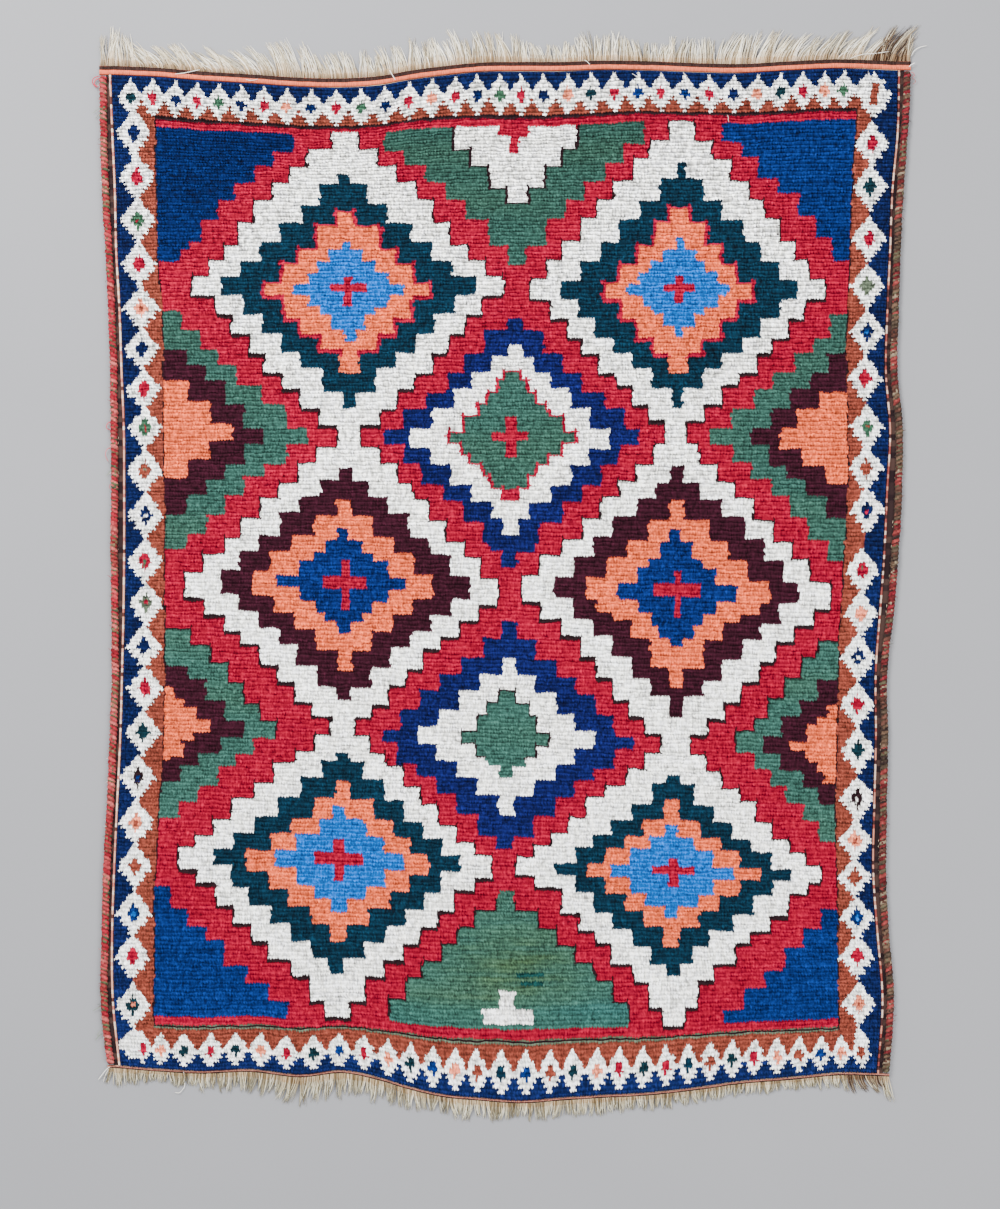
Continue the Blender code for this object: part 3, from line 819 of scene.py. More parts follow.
def with_drifted_greens(chart, colour, streak):
    """Greens grow paler down the rug and mossy in soft patches; the bottom triangle's middle is worn to
    olive by a bell in x and s, and its foot is bluer."""
    greens = chart.has("green", "leaf")
    mossy = np.clip(waver(chart.knot / 60.0, chart.row / 7.0, 14) * 0.8 + 0.2, 0, 1)
    low = greens & (chart.s > 900)
    shift = np.where(low, 0.7, 0.3) * mossy
    pale = np.interp(chart.s, (130, 300, 560, 720, 960), (0.82, 0.95, 1.06, 1.15, 1.2))
    moss = 1 + shift[..., None] * np.array((0.4, 0.02, -0.3))
    colour = toned(colour, greens, moss * pale[..., None])
    worn = np.exp(-(((chart.s - 962) / 34) ** 2) - ((chart.x - 515) / 62) ** 2)
    foot = np.clip((chart.s - 992) / 10, 0, 1)
    olive = (worn * (0.7 + 0.5 * streak))[..., None] * np.array((0.42, -0.02, -0.42))
    bluer = foot[..., None] * np.array((-0.22, 0.0, 0.16))
    return toned(colour, low, 1 + olive + bluer)


def with_drifted_blues(chart, colour):
    """Blues start darker at the top left than at the top right, then grow lighter towards the bottom."""
    first = np.where(chart.x < 500, 0.6, 1.15)
    first = np.where(chart.has("border navy", "ring navy"), 0.95, first)
    later = np.interp(chart.s, (260, 600, 900, 1030), (1.0, 1.0, 1.05, 1.28))
    ages = first + (later - first) * np.clip((chart.s - 150) / 150, 0, 1)
    drift = waver(chart.knot / 400.0, chart.row / 6.0, 16)
    blues = chart.has("corner blue", "royal", "border navy", "ring navy")
    return toned(colour, blues, (ages * (1 + 0.16 * drift))[..., None])


def dyed(chart):
    """Linear colour of every tuft: its dye, streaked by row and knot, with the drift of the dye lots."""
    rows, knots = chart.row, chart.knot
    streak = waver(knots / 7.0, rows * 1.0, 2) * 0.5 + waver(knots / 31.0, rows * 1.0, 4) * 0.5
    lot = waver(knots / 140.0, rows / 5.5, 6)
    fleck = hashed(rows, knots, 8) - 0.5
    fine = hashed(rows, chart.tuft, 18) - 0.5
    tone = 1 + 0.10 * streak + 0.05 * lot + 0.20 * fleck + 0.20 * fine
    strong = chart.has("corner blue", "royal", "ring navy", "border navy", "teal")
    tone = tone + np.where(strong, 0.16 * streak + 0.24 * fleck + 0.3 * fine, 0.0)
    deep = chart.has("red", "crimson", "brown")
    tone = tone + np.where(deep, 0.06 * streak + 0.06 * fleck + 0.1 * fine, 0.0)
    tone = tone - np.where(chart.has("ivory"), 0.22 * (hashed(rows, knots, 9) > 0.80), 0.0)
    colour = DYE_LIGHT[chart.dye] * tone[..., None]

    light = chart.has("red", "crimson") & (waver(knots / 12.0, rows / 1.1, 12) + 0.8 * fleck > 0.15)
    colour = toned(colour, light, np.array((1.07, 1.25, 1.15)))
    colour = with_drifted_greens(chart, colour, streak)
    rust = np.interp(chart.s, (108, 150), (0.87, 1.0))[..., None] * np.array((0.92, 1.03, 1.18))
    colour = toned(colour, chart.has("rust"), rust)
    colour = with_drifted_blues(chart, colour)
    return np.clip(colour, 0.0015, 0.95)


def laid_in_strips(chart, colours):
    """The colours of the pile's faces, three strips to a row: the back of the tufts, their crown, and the
    dip between their tips and the next row, where the next row's wool shows.

    A thin line of outline or crimson over a figure leaves its own back strip to the colour above it. The
    lozenges' row ends are drawn to a point: their backs take the colour of the tuft outside."""
    strips = np.repeat(colours, 3, axis=0)
    backs = colours
    for step in (-1, 1):
        inward = np.roll(chart.lozenge, -step, axis=1) & np.roll(chart.lozenge, -2 * step, axis=1)
        row_end = chart.lozenge & ~np.roll(chart.lozenge, step, axis=1) & inward
        backs = np.where(row_end[..., None], np.roll(colours, step, axis=1), backs)
    thin = chart.has("outline", "crimson")
    figure = chart.has("ivory", "orange", "green", "rust")
    above, below = np.roll(colours, 1, axis=0), np.roll(backs, -1, axis=0)
    above[0], below[-1] = colours[0], colours[-1]
    over_figure = thin & np.roll(figure, -1, axis=0) & ~np.roll(thin, 1, axis=0)
    strips[0::3] = np.where(over_figure[..., None], above, backs)
    strips[0::3][chart.last_line] = DYE_LIGHT[DYE_NAMES.index("outline")]
    strips[2::3] = np.where(np.roll(over_figure, -1, axis=0)[..., None], strips[2::3], below)
    return strips


# Meshes


def new_piece(name, verts, faces, dyes=None, smooth_shading=True, uvs=None, painted_shade=None):
    """An object from an array of places and an array of faces or several, with a dye for each face.

    The shade given for each place is painted shade: a factor on its colour, low in the hollows between
    the yarns and 1 where none is given."""
    mesh = bpy.data.meshes.new(name)
    verts = np.asarray(verts, np.float32).reshape(-1, 3)
    faces = [np.asarray(f, np.int32) for f in (faces if isinstance(faces, (list, tuple)) else [faces])]
    corners = np.concatenate([f.ravel() for f in faces])
    totals = np.concatenate([np.full(len(f), f.shape[1], np.int32) for f in faces])
    starts = np.concatenate([[0], np.cumsum(totals)[:-1]]).astype(np.int32)
    mesh.vertices.add(len(verts))
    mesh.vertices.foreach_set("co", verts.ravel())
    mesh.loops.add(len(corners))
    mesh.loops.foreach_set("vertex_index", corners)
    mesh.polygons.add(len(totals))
    mesh.polygons.foreach_set("loop_start", starts)
    mesh.polygons.foreach_set("loop_total", totals)
    mesh.update(calc_edges=True)
    mesh.polygons.foreach_set("use_smooth", np.full(len(totals), smooth_shading))
    if dyes is not None:
        attribute = mesh.attributes.new("dye", "FLOAT_COLOR", "FACE")
        four = np.ones((len(totals), 4), np.float32)
        four[:, :3] = dyes
        attribute.data.foreach_set("color", four.ravel())
        # Painted shade for each place, which the wool multiplies into its base colour.
        attribute = mesh.attributes.new("painted_shade", "FLOAT", "POINT")
        if painted_shade is None:
            painted_shade = np.ones(len(verts))
        attribute.data.foreach_set("value", np.asarray(painted_shade, np.float32).ravel())
    if uvs is not None:
        for uv_name, places in uvs.items():
            layer = mesh.uv_layers.new(name=uv_name)
            layer.data.foreach_set("uv", np.asarray(places, np.float32)[corners].ravel())
    obj = bpy.data.objects.new(name, mesh)
    bpy.context.scene.collection.objects.link(obj)
    return obj


def grid_faces(rows, columns, offset=0, flip=False):
    """Quads of a grid of vertices, row by row, turned to face up when the rows run down the rug."""
    i = np.arange(rows - 1)[:, None] * columns + np.arange(columns - 1)[None, :] + offset
    quads = np.stack([i, i + columns, i + columns + 1, i + 1], axis=-1).reshape(-1, 4)
    return quads[:, ::-1] if flip else quads


ROOT, SHOULDER, TIP = 0, 1, 2  # the three lines of places that a row of knots has


def pile_lines():
    """Row coordinates of the pile's lines: each row's roots, shoulder and tips, then the last edge."""
    edges = row_edges()
    starts, pitch = edges[:-1], np.diff(edges)
    lines = np.stack([starts + share * pitch for share in (0.05, 0.36, 0.90)], 1).ravel()
    lines[0] = edges[0]
    return np.append(lines, edges[-1])


def painted_pile_shade(chart, kind, middle, row, column, raised):
    """Painted shade for each place of the pile, a factor on its colour: darker at the roots and between the
    knots, where shade falls in the hollows.

    The painted shade between the rows fades down the rug and that between the knots grows. Ivory keeps
    more, and its tips get painted shade in the upper rows. All is raised to a power that falls down the
    rug."""
    upright = np.interp(row, (0, 80, 160, 240), (0.1, 0.4, 0.8, 1.3))
    level = np.interp(row, (0, 90, 180, 250), (1.6, 1.3, 1.0, 0.8))
    painted_shade = 1.04 - np.choose(kind, [0.42, 0.0, 0.08]) * level
    painted_shade = painted_shade - np.where(middle, 0.0, np.choose(kind, [0.04, 0.12, 0.24])) * upright
    painted_shade = np.clip(painted_shade + raised, 0.2, 1.3)
    ivory = chart.has("ivory")[row, np.minimum(column, TUFTS_ACROSS - 1)]
    tips_shade = np.interp(row, (0, 60, 130), (0.18, 0.15, 0.04))
    painted_shade = np.where(ivory & (kind == TIP), painted_shade - tips_shade, painted_shade)
    painted_ivory_shade = painted_shade ** np.interp(row, (0, 60, 130, 250), (2.0, 1.8, 1.3, 1.2))
    painted_ivory_shade = painted_ivory_shade * np.interp(row, (0, 60, 130), (1.14, 1.12, 1.07))
    return np.where(ivory, painted_ivory_shade, 1.03 * painted_shade ** np.interp(row, (0, 100, 200), (1.3, 1.15, 1.0)))


def build_pile(chart, colours):
    """The knotted pile: each row of knots rises from its roots, crowns, and leans down over the next row.

    A knot has a middle column, and its neighbours meet in a lower column drawn back between the tips. The
    rows wander and the tufts lean by smooth noise, and the height falls off as a square by the edges."""
    lines = pile_lines()
    columns = TUFTS_ACROSS + 1
    column = np.arange(columns)[None, :]
    x, y = lay(column / TUFTS_ACROSS, lines[:, None])
    kind = np.append(np.tile([ROOT, SHOULDER, TIP], ROWS), ROOT)[:, None]
    middle = column % 2 == 1
    row = np.minimum(np.arange(len(lines)) // 3, ROWS - 1)[:, None]
    away = hashed(row, np.minimum(column // 2, KNOTS_ACROSS - 1), 21) - 0.5
    other = hashed(row, column, 22) - 0.5
    sunk = 0.30 * waver(column / 2.7, row, 27) + 0.45 * other

    wander = 0.5 * waver(column / 21.0, row, 23) + 0.75 * waver(column / 6.3, row, 24)
    wander = wander + 0.4 * waver(column / 2.4, row, 26)
    y = y + wander * np.clip(np.minimum(row, ROWS - 1 - row) / 2.0, 0, 1)
    drawn_back = np.where(middle, 0.25 + 1.1 * away, -1.35 + 0.9 * other)
    y = y + np.where(kind == TIP, drawn_back, 0.0)
    y = y + np.where(kind == SHOULDER, np.where(middle, 0.25 * other, 0.25), 0.0)
    lean = 0.8 * waver(column / 8.0, row, 28) + 0.5 * waver(column / 3.1, row, 29)
    lean = lean * np.clip(np.minimum(column, columns - 1 - column) / 8.0, 0, 1)
    x = x + np.where(kind == ROOT, 0.0, lean + 0.5 * other * np.where(middle, 1.0, 0.6))

    height = np.choose(kind, [PILE_ROOT, PILE_TOP - 0.25, PILE_TOP - 0.75])
    height = height - np.where(middle, 0.0, np.choose(kind, [0.0, 0.9, 1.5]))
    height = height + np.where(kind == ROOT, 1.6 * sunk, np.where(middle, 1.0 * away, 0.0) + 0.6 * other)
    height = height + unevenness((x - CHART_X) * UNIT, (CHART_Y - y) * UNIT)
    left, right = side_lines(y)
    from_side = np.minimum(x - left, right - x)
    from_end = np.minimum(lines - CHART_TOP, CHART_BOTTOM - lines)[:, None]
    inside = np.minimum(from_side, from_end) * UNIT
    ramp = np.clip(inside / PILE_SHOULDER, 0, 1)
    height = height - (PILE_TOP - PILE_EDGE_TOP) * (1 - ramp) ** 2
    height = np.where(inside < 0.05, GROUND_TOP - 0.3, height)
    places = to_frame(x, y, height)

    # Painted shade: the roots are darkened most, and places that stand higher keep more of their colour.
    raised = np.where(kind == ROOT, 1.1 * sunk, 0.46 * other + 0.2 * away)
    painted_shade = painted_pile_shade(chart, kind, middle, row, column, raised)
    calm = np.repeat(chart.has("red", "crimson", "brown", "ivory"), 3, axis=0)
    speck = hashed(np.arange(3 * ROWS)[:, None], column[:, :-1], 33) - 0.5
    colours = colours * (1 + np.where(calm, 0.40, 0.66) * speck)[..., None]

    steps = 3 * ROWS // BANDS  # lines of places to a band
    flat = np.meshgrid(np.linspace(0.002, 0.998, columns), np.linspace(0.998, 0.002, steps + 1))
    flat = np.stack(flat, -1).reshape(-1, 2)
    pieces = []
    for band in range(BANDS):
        first, last = band * steps, (band + 1) * steps
        pieces.append(new_piece(
            f"pile_band_{band + 1}", places[first:last + 1], grid_faces(steps + 1, columns),
            colours[first:last].reshape(-1, 3), uvs={"OFBake": flat}, painted_shade=painted_shade[first:last + 1]))
    return pieces


def build_ground():
    """The woven ground under the pile: a thin closed sheet with the rug's wavy outline.

    Top and bottom are the same grid of places between the side cords, joined by a wall round the rim."""
    rows, columns = 45, 41
    s = np.linspace(CHART_TOP, CHART_BOTTOM, rows)[:, None]
    u = np.linspace(0, 1, columns)[None, :]
    x, y = lay(u, s)
    left, right = cord_lines((CHART_Y - y) * UNIT, -(CORD_WIDTH / 2 + GAP))
    x = left + u * (right - left)
    top = to_frame(x, y, GROUND_TOP).reshape(-1, 3)
    bottom = to_frame(x, y, 0.0).reshape(-1, 3)
    count = rows * columns
    index = np.arange(count).reshape(rows, columns)
    rim = np.concatenate([index[0, :-1], index[:-1, -1], index[-1, :0:-1], index[:0:-1, 0]])
    following = np.roll(rim, -1)
    wall = np.stack([rim, following, following + count, rim + count], 1)
    faces = np.concatenate([grid_faces(rows, columns), grid_faces(rows, columns, count, True), wall])
    dyes = np.tile(linear((176, 160, 134)), (len(faces), 1))
    return new_piece("woven_ground", np.concatenate([top, bottom]), faces, dyes, smooth_shading=False)


# The bands of the end strips: outer distance in millimetres, dye, spread of tone and height.
TOP_BANDS = (
    (6.4, (204, 98, 68), 0.45, 3.1), (13.2, (46, 30, 27), 0.8, 2.9), (13.9, (186, 104, 82), 0.8, 2.6),
)
BOTTOM_BANDS = ((2.3, (160, 104, 88), 0.9, 3.0), (4.6, (44, 30, 30), 0.7, 2.5))
STRIP_UNDERSIDE = (70, 55, 50)


def build_end_strip(name, share_line, towards, width, bands, shares):
    """A flat-woven strip past the pile: weft bands over ribs, one rib to a pair of warps.

    Its height is a low arch across each band plus 0.5 mm on every other place across. shares are the places
    of a band's lines between its two edges."""
    columns = 761
    across = np.linspace(0, 1, columns)
    x, y = lay(across, np.full(across.shape, share_line))
    up = (CHART_Y - y) * UNIT
    left = cord_lines(up[0], CORD_WIDTH / 2)[0]
    right = cord_lines(up[-1], CORD_WIDTH / 2)[1]
    x = left + across * (right - left)
    edge = end_lines(x)[0 if towards > 0 else 1]
    number = np.arange(columns)
    rib = (number % 2) * 0.5
    last = END_GAP
    lines = [to_frame(x, edge - towards * last / UNIT, 0.1)]
    # Painted shade: the riser from the floor up to the first band takes that band's dye at half strength,
    # in the gap by the pile.
    tones_and_riser_shade = [np.tile(linear(bands[0][1]) * 0.5, (columns - 1, 1))]
    for out, dye, spread, height in bands:
        for share in shares:
            at = last + share * (out - last)
            arch = 1 - 0.9 * (share - 0.5) ** 2
            wander = waver(number / 7.0, at, 41) * 0.35
            lift = height * arch + rib + 0.3 * hashed(number, at, 45)
            lines.append(to_frame(x, edge - towards * (at + wander) / UNIT, lift))
            tone = 1 + spread * (hashed(number[:-1], at, 43) - 0.5)
            tone = tone * np.where(number[:-1] % 2, 1.0, 0.84)
            tones_and_riser_shade.append(linear(dye)[None, :] * tone[:, None])
        last = out
    lines.append(to_frame(x, edge - towards * (width + 0.2) / UNIT, 0.1))
    flip = towards > 0
    coarse = np.arange(0, columns, 20)
    under = np.stack([lines[0][coarse], lines[-1][coarse]])
    faces = grid_faces(len(lines), columns, flip=flip)
    floor = grid_faces(2, len(coarse), len(lines) * columns, flip=not flip)
    dyes = np.concatenate([*tones_and_riser_shade, np.tile(linear(STRIP_UNDERSIDE), (len(floor), 1))])
    verts = np.concatenate([np.stack(lines).reshape(-1, 3), under.reshape(-1, 3)])
    return new_piece(name, verts, np.concatenate([faces, floor]), dyes)


# The side webs: height over distance out from the pile, with the rib's crest at 2 mm. None stands halfway
# from the rib's foot to the cord, and the last place goes as far as there is room.
RIB_FOOT = 3.5
WEB_PROFILE = (
    (-0.6, 2.6), (0.3, 3.6), (0.9, 4.9), (2.0, 5.4), (2.9, 4.4), (RIB_FOOT, 2.9), (None, 2.6), (1e3, 2.4),
)
LEFT_RIBS = ((206, 148, 126), (226, 196, 176), (176, 100, 88), (84, 48, 42))
RIGHT_RIBS = ((178, 118, 100), (206, 176, 158), (128, 60, 54), (62, 36, 36))
WEB_DYES = ((40, 28, 28), (58, 42, 38), (30, 20, 22))


def build_side_web(name, side, ribs, dark_left_out):
    """The bare web and twisted edge rib between the pile and a side cord: a profile carried up the side.

    The rib's top swells by a sine for each twist and by noise. Its twists take the rib dyes, and the share
    dark_left_out of the dark ones takes the first dye instead."""
    count = 500
    up = np.linspace(*side_ends(side), count)
    pile = pile_side(side, up)
    cord = cord_middle(side, up) - side * (CORD_WIDTH / 2 - 1.0)
    room = np.abs(cord - pile)
    swell = np.sin(np.arange(count) * 2.1) * 0.35 + waver(np.arange(count) / 3.0, 0.0, 51 + side) * 0.5
    x_mm, z_mm = [], []
    for out, height in WEB_PROFILE:
        halfway = RIB_FOOT + (room - RIB_FOOT) * 0.5
        distance = halfway if out is None else np.minimum(out, room)
        ribbed = 1.0 if out in (0.9, 2.0, 2.9) else 0.25
        x_mm.append(pile + side * (distance + (0.25 * swell if out == 2.0 else 0)))
        z_mm.append(height + ribbed * swell * 0.6)
    grid = drafted(np.stack(x_mm, 1), up[:, None], np.stack(z_mm, 1))
    stations = np.arange(count - 1)
    pick = (hashed(stations // 2, 61 + side) * len(ribs)).astype(int)
    pick = np.where((pick == 3) & (hashed(stations // 2, 63) > 1 - dark_left_out), 0, pick)
    dark = drawn(linear(WEB_DYES), hashed(stations // 3, 67 + side))
    dyes = np.stack([linear(ribs)[pick] if 1 <= j <= 4 else dark for j in range(len(WEB_PROFILE) - 1)], 1)
    faces = grid_faces(count, len(WEB_PROFILE), flip=side > 0)
    return new_piece(name, grid, faces, dyes.reshape(-1, 3))


def tube(points, radii, angles, wraps=1.0, flatten=1.0):
    """Rings of places round each of many paths: centre + r (cos a * sideways + sin a * up).

    points is (paths, stations, 3) and radii (paths, stations); sideways is the level direction across."""
    run = np.gradient(points, axis=1)
    run = run / np.maximum(np.linalg.norm(run, axis=2, keepdims=True), 1e-9)
    sideways = np.cross(run, np.array((0.0, 0.0, 1.0)))
    sideways = sideways / np.maximum(np.linalg.norm(sideways, axis=2, keepdims=True), 1e-9)
    upward = np.cross(sideways, run)
    swell = (radii[:, :, None] * wraps)[..., None]
    level = swell * np.cos(angles)[None, None, :, None] * sideways[:, :, None, :]
    raised = swell * np.sin(angles)[None, None, :, None] * upward[:, :, None, :] * flatten
    return points[:, :, None, :] + level + raised


def tube_faces(paths, stations, around):
    """Quads round each tube, and apart from them one face over each end."""
    path = np.arange(paths)[:, None, None] * stations * around
    station = np.arange(stations - 1)[None, :, None] * around
    k = np.arange(around)[None, None, :]
    a = path + station + k
    b = path + station + (k + 1) % around
    quads = np.stack([a, b, b + around, a + around], -1).reshape(-1, 4)
    first = path[:, 0, 0][:, None] + np.arange(around)[None, :]
    last = first + (stations - 1) * around
    return quads, np.concatenate([first[:, ::-1], last])


def build_yarns(name, points, radii, dyes, root_tint=(1.0, 1.0, 1.0)):
    """Many loose three-sided yarns in one piece, each with its own dye, times a tint that fades out from
    its root by its middle."""
    paths, stations = points.shape[:2]
    rings = tube(points, radii, np.array((0.5, 2.6, 4.7)))
    fade = np.clip(np.linspace(0, 2, stations - 1), 0, 1)[:, None]
    tints = np.array(root_tint) * (1 - fade) + fade
    quad_dyes = np.repeat((dyes[:, None] * tints[None]).reshape(-1, 3), 3, axis=0)
    faces = tube_faces(paths, stations, 3)
    return new_piece(name, rings, faces, np.concatenate([quad_dyes, dyes, dyes]))


# Wrapping yarns of the two cords, and the second yarns that show in their seams.
LEFT_YARNS = ((144, 30, 44), (156, 56, 60), (128, 28, 38), (166, 80, 76), (122, 42, 42))
LEFT_SEAMS = ((72, 78, 54), (90, 74, 54), (56, 64, 46), (104, 50, 44))
RIGHT_YARNS = ((104, 28, 36), (86, 30, 32), (116, 48, 46), (78, 50, 42), (88, 68, 54), (66, 54, 44))
RIGHT_SEAMS = ((68, 64, 48), (52, 44, 36), (110, 96, 78), (38, 28, 26))
TURN = 6.6  # millimetres of cord to a turn of the wrapping yarn


def build_cord(name, side, yarns, seams, seam_share):
    """A wrapped side cord: an oval tube whose radius swells with each turn of the wrapping yarn.

    Its radius is r (0.84 + 0.28 |sin(pi phase)|), where phase grows by one for each turn along the cord and
    by 1.7 for each time round it. The first part of a turn shows the second yarn, in a seam dye. Each turn
    is darker towards its ends, as painted shade in the grooves between the turns."""
    angles = np.array((-0.15, 0.45, 1.05, 1.57, 2.09, 2.69, 3.29, 4.71))
    around = np.arange(len(angles))[None, :]
    stations = 1120
    low, high = side_ends(side)
    short = CORD_SHORT_OF_STRIP
    up = np.linspace(low + short + 1.0, high - short - 1.0, stations)
    wander = waver(up / 26.0, 0.0, 71 + side) * 0.5 + waver(up / 9.0, 0.0, 73 + side) * 0.4
    centre = drafted(cord_middle(side, up) + wander, up, CORD_HEIGHT / 2 + 0.1)
    turns = up / TURN + 0.5 * waver(up / 40.0, 0.0, 77 + side)
    phase = turns[:, None] + side * angles[None, :] / (2 * np.pi) * 1.7
    wraps = 0.84 + 0.28 * np.abs(np.sin(np.pi * phase)) + 0.12 * (hashed(np.floor(phase), 75) - 0.5)
    wraps = wraps + 0.06 * (hashed(np.arange(stations)[:, None], around, 76) - 0.5)
    radii = np.full((1, stations), CORD_WIDTH / 2 * 0.97 * MM)
    radii[0, [0, -1]] *= 0.5
    radii[0, [1, -2]] *= 0.85
    rings = tube(centre[None], radii, angles, wraps[None], flatten=0.84)
    rings[..., 2] = np.maximum(rings[..., 2], 0.1 * MM)

    turn, share = np.floor(phase[:-1]), np.mod(phase[:-1], 1.0)
    slow = 0.5 + 0.7 * waver(turn / 9.0, 0.0, 93 + side)
    draw = np.clip(0.6 * hashed(turn, 83 + side) + 0.4 * slow, 0, 0.999)
    yarn = drawn(linear(yarns), draw)
    seam = drawn(linear(seams), hashed(turn, 85 + side))
    shows = (share < seam_share * 2 * hashed(turn, 89 + side)) & (hashed(turn, 91) < 0.8)
    speckle = hashed(np.arange(stations - 1)[:, None] // 2, around, 87 + side)
    shows = (shows & (speckle > 0.25)) | (speckle > 0.93)
    # Painted shade: each turn's colour darkens towards the grooves between the turns.
    painted_groove_shade = 0.42 + 0.58 * np.abs(np.sin(np.pi * share)) ** 0.8
    tone = painted_groove_shade * (1 + 0.9 * (speckle - 0.5))
    dyes = (np.where(shows[..., None], seam, yarn) * tone[..., None]).reshape(-1, 3)
    end_dyes = np.tile(linear(yarns[0]), (2, 1))
    faces = tube_faces(1, stations, len(angles))
    return new_piece(name, rings, faces, np.concatenate([dyes, end_dyes]))


def build_cord_fuzz(name, side, count, lots):
    """Fine wool hairs that stand out of a cord: each leaves its flank, curls along it and ends in the air
    just over the floor, going out by out * t and along by along * t^1.5 with a sine curl."""
    n = np.arange(count)
    low, high = side_ends(side)
    low, high = low + 6, high - 6
    clump = waver(n / 7.0, 0.0, 141 + side) * 3.0
    up = low + (n + hashed(n, 143)) / count * (high - low) + clump
    middle = cord_middle(side, up)[:, None]
    t = np.linspace(0, 1, 4)[None, :]
    out = (1.2 + 4.5 * hashed(n, 145 + side) ** 3)[:, None]
    along = ((hashed(n, 147 + side) - 0.5) * 9)[:, None]
    start = (CORD_WIDTH / 2 - 1.6 - 3.0 * hashed(n, 149))[:, None]
    x = middle + side * (start + (out + 1.6) * t + 0.8 * np.sin(t * 4.0 + n[:, None]))
    z = 7.4 - 1.2 * hashed(n, 151)[:, None] - t * 3.6 * hashed(n, 153)[:, None]
    points = drafted(x, up[:, None] + along * t ** 1.5, z)
    radii = (0.26 + 0.3 * hashed(n, 155))[:, None] * MM * np.interp(t, (0, 0.5, 1), (1, 0.9, 0.4))
    return build_yarns(name, points, radii, drawn(linear(lots), hashed(n, 157 + side)))


TOP_CREAMS = ((238, 229, 206), (222, 210, 182), (246, 240, 226), (192, 176, 146))
BOTTOM_CREAMS = ((208, 200, 172), (188, 178, 148), (224, 218, 196), (140, 128, 100))
BROWN_WARPS = ((98, 80, 64), (64, 50, 42), (134, 118, 98))  # those near the right corners
ROOT_TINT = (0.78, 0.62, 0.50)


def build_fringe(name, table, towards, strip_width, count, stations, locks, creams):
    """Loose warp ends past the strip, gathered into locks.

    A yarn leaves the strip straight, bends by lean * t^1.7 for t from root to tip, is drawn towards the
    middle of its lock by t^1.3, and sags from the strip's height to the floor as (1 - t)^2."""
    n = np.arange(count)
    edge = TOP_PILE if towards > 0 else BOTTOM_PILE
    first, last = cord_middle(-1, edge[0]) - 4.5, cord_middle(1, edge[-1]) + 4.5
    root = first + (n + hashed(n, 101)) / count * (last - first)
    base = smooth(ACROSS_END, edge, root) + towards * (strip_width - 0.6)
    spacing = (last - first) / locks
    lock = np.floor((root - first) / spacing + 0.35 * (hashed(n, 103) - 0.5))
    lock_middle = first + (lock + 0.5 + 0.5 * (hashed(lock, 105) - 0.5)) * spacing
    places, reaches, leans = table.T
    own = hashed(n, 107)
    shorter = np.where(own < 0.22, 0.55 + own * 1.4, 0.86 + 0.2 * own)
    reach = np.interp(root, places, reaches) * (0.70 + 0.38 * hashed(lock, 109)) * shorter
    lean = np.interp(root, places, leans)
    lean = lean + (hashed(lock, 111) - 0.5) * reach * 0.36 + (hashed(n, 113) - 0.5) * reach * 0.30
    t = np.linspace(0, 1, stations)[None, :]
    gather = t ** 1.3 * (0.35 + 0.55 * hashed(lock, 115))[:, None]
    x = root[:, None] + (lock_middle - root)[:, None] * gather + lean[:, None] * t ** 1.7
    curl = (hashed(n, 117) - 0.5)[:, None] * 5.0 * np.sin(t * np.pi * (0.8 + hashed(n, 119)[:, None] * 1.5))
    droop = 1 - 0.06 * t * np.abs(lean / reach)[:, None]
    y = base[:, None] + towards * (reach + 0.6)[:, None] * t * droop
    rise = 0.6 + 2.4 * hashed(n, 121)[:, None]
    z = 1.15 + (rise + 0.4) * (1 - t) ** 2 * 0.7 + rise * 0.8 * np.sin(np.pi * t) ** 2 + rise * 0.3
    points = drafted(x + curl * t, y, z)
    taper = np.interp(t, (0, 0.15, 0.6, 1), (1.0, 1.0, 0.85, 0.22))
    radii = ((0.66 + 0.34 * hashed(n, 123)) * MM)[:, None] * taper

    dyes = drawn(linear(creams), hashed(n, 125))
    dyes = dyes * (0.70 + 0.34 * hashed(lock, 127) * hashed(n, 128) ** 0.3)[:, None]
    dyes = dyes * np.where(hashed(n, 130) < 0.2, 0.55, 1.0)[:, None]
    from_x, to_x = (556, 612) if towards > 0 else (520, 574)
    brown = (root > from_x) & (root < to_x) & (hashed(n, 129) < 0.72)
    dyes = np.where(brown[:, None], drawn(linear(BROWN_WARPS), hashed(n, 131)), dyes)
    return build_yarns(name, points, radii, dyes, ROOT_TINT)


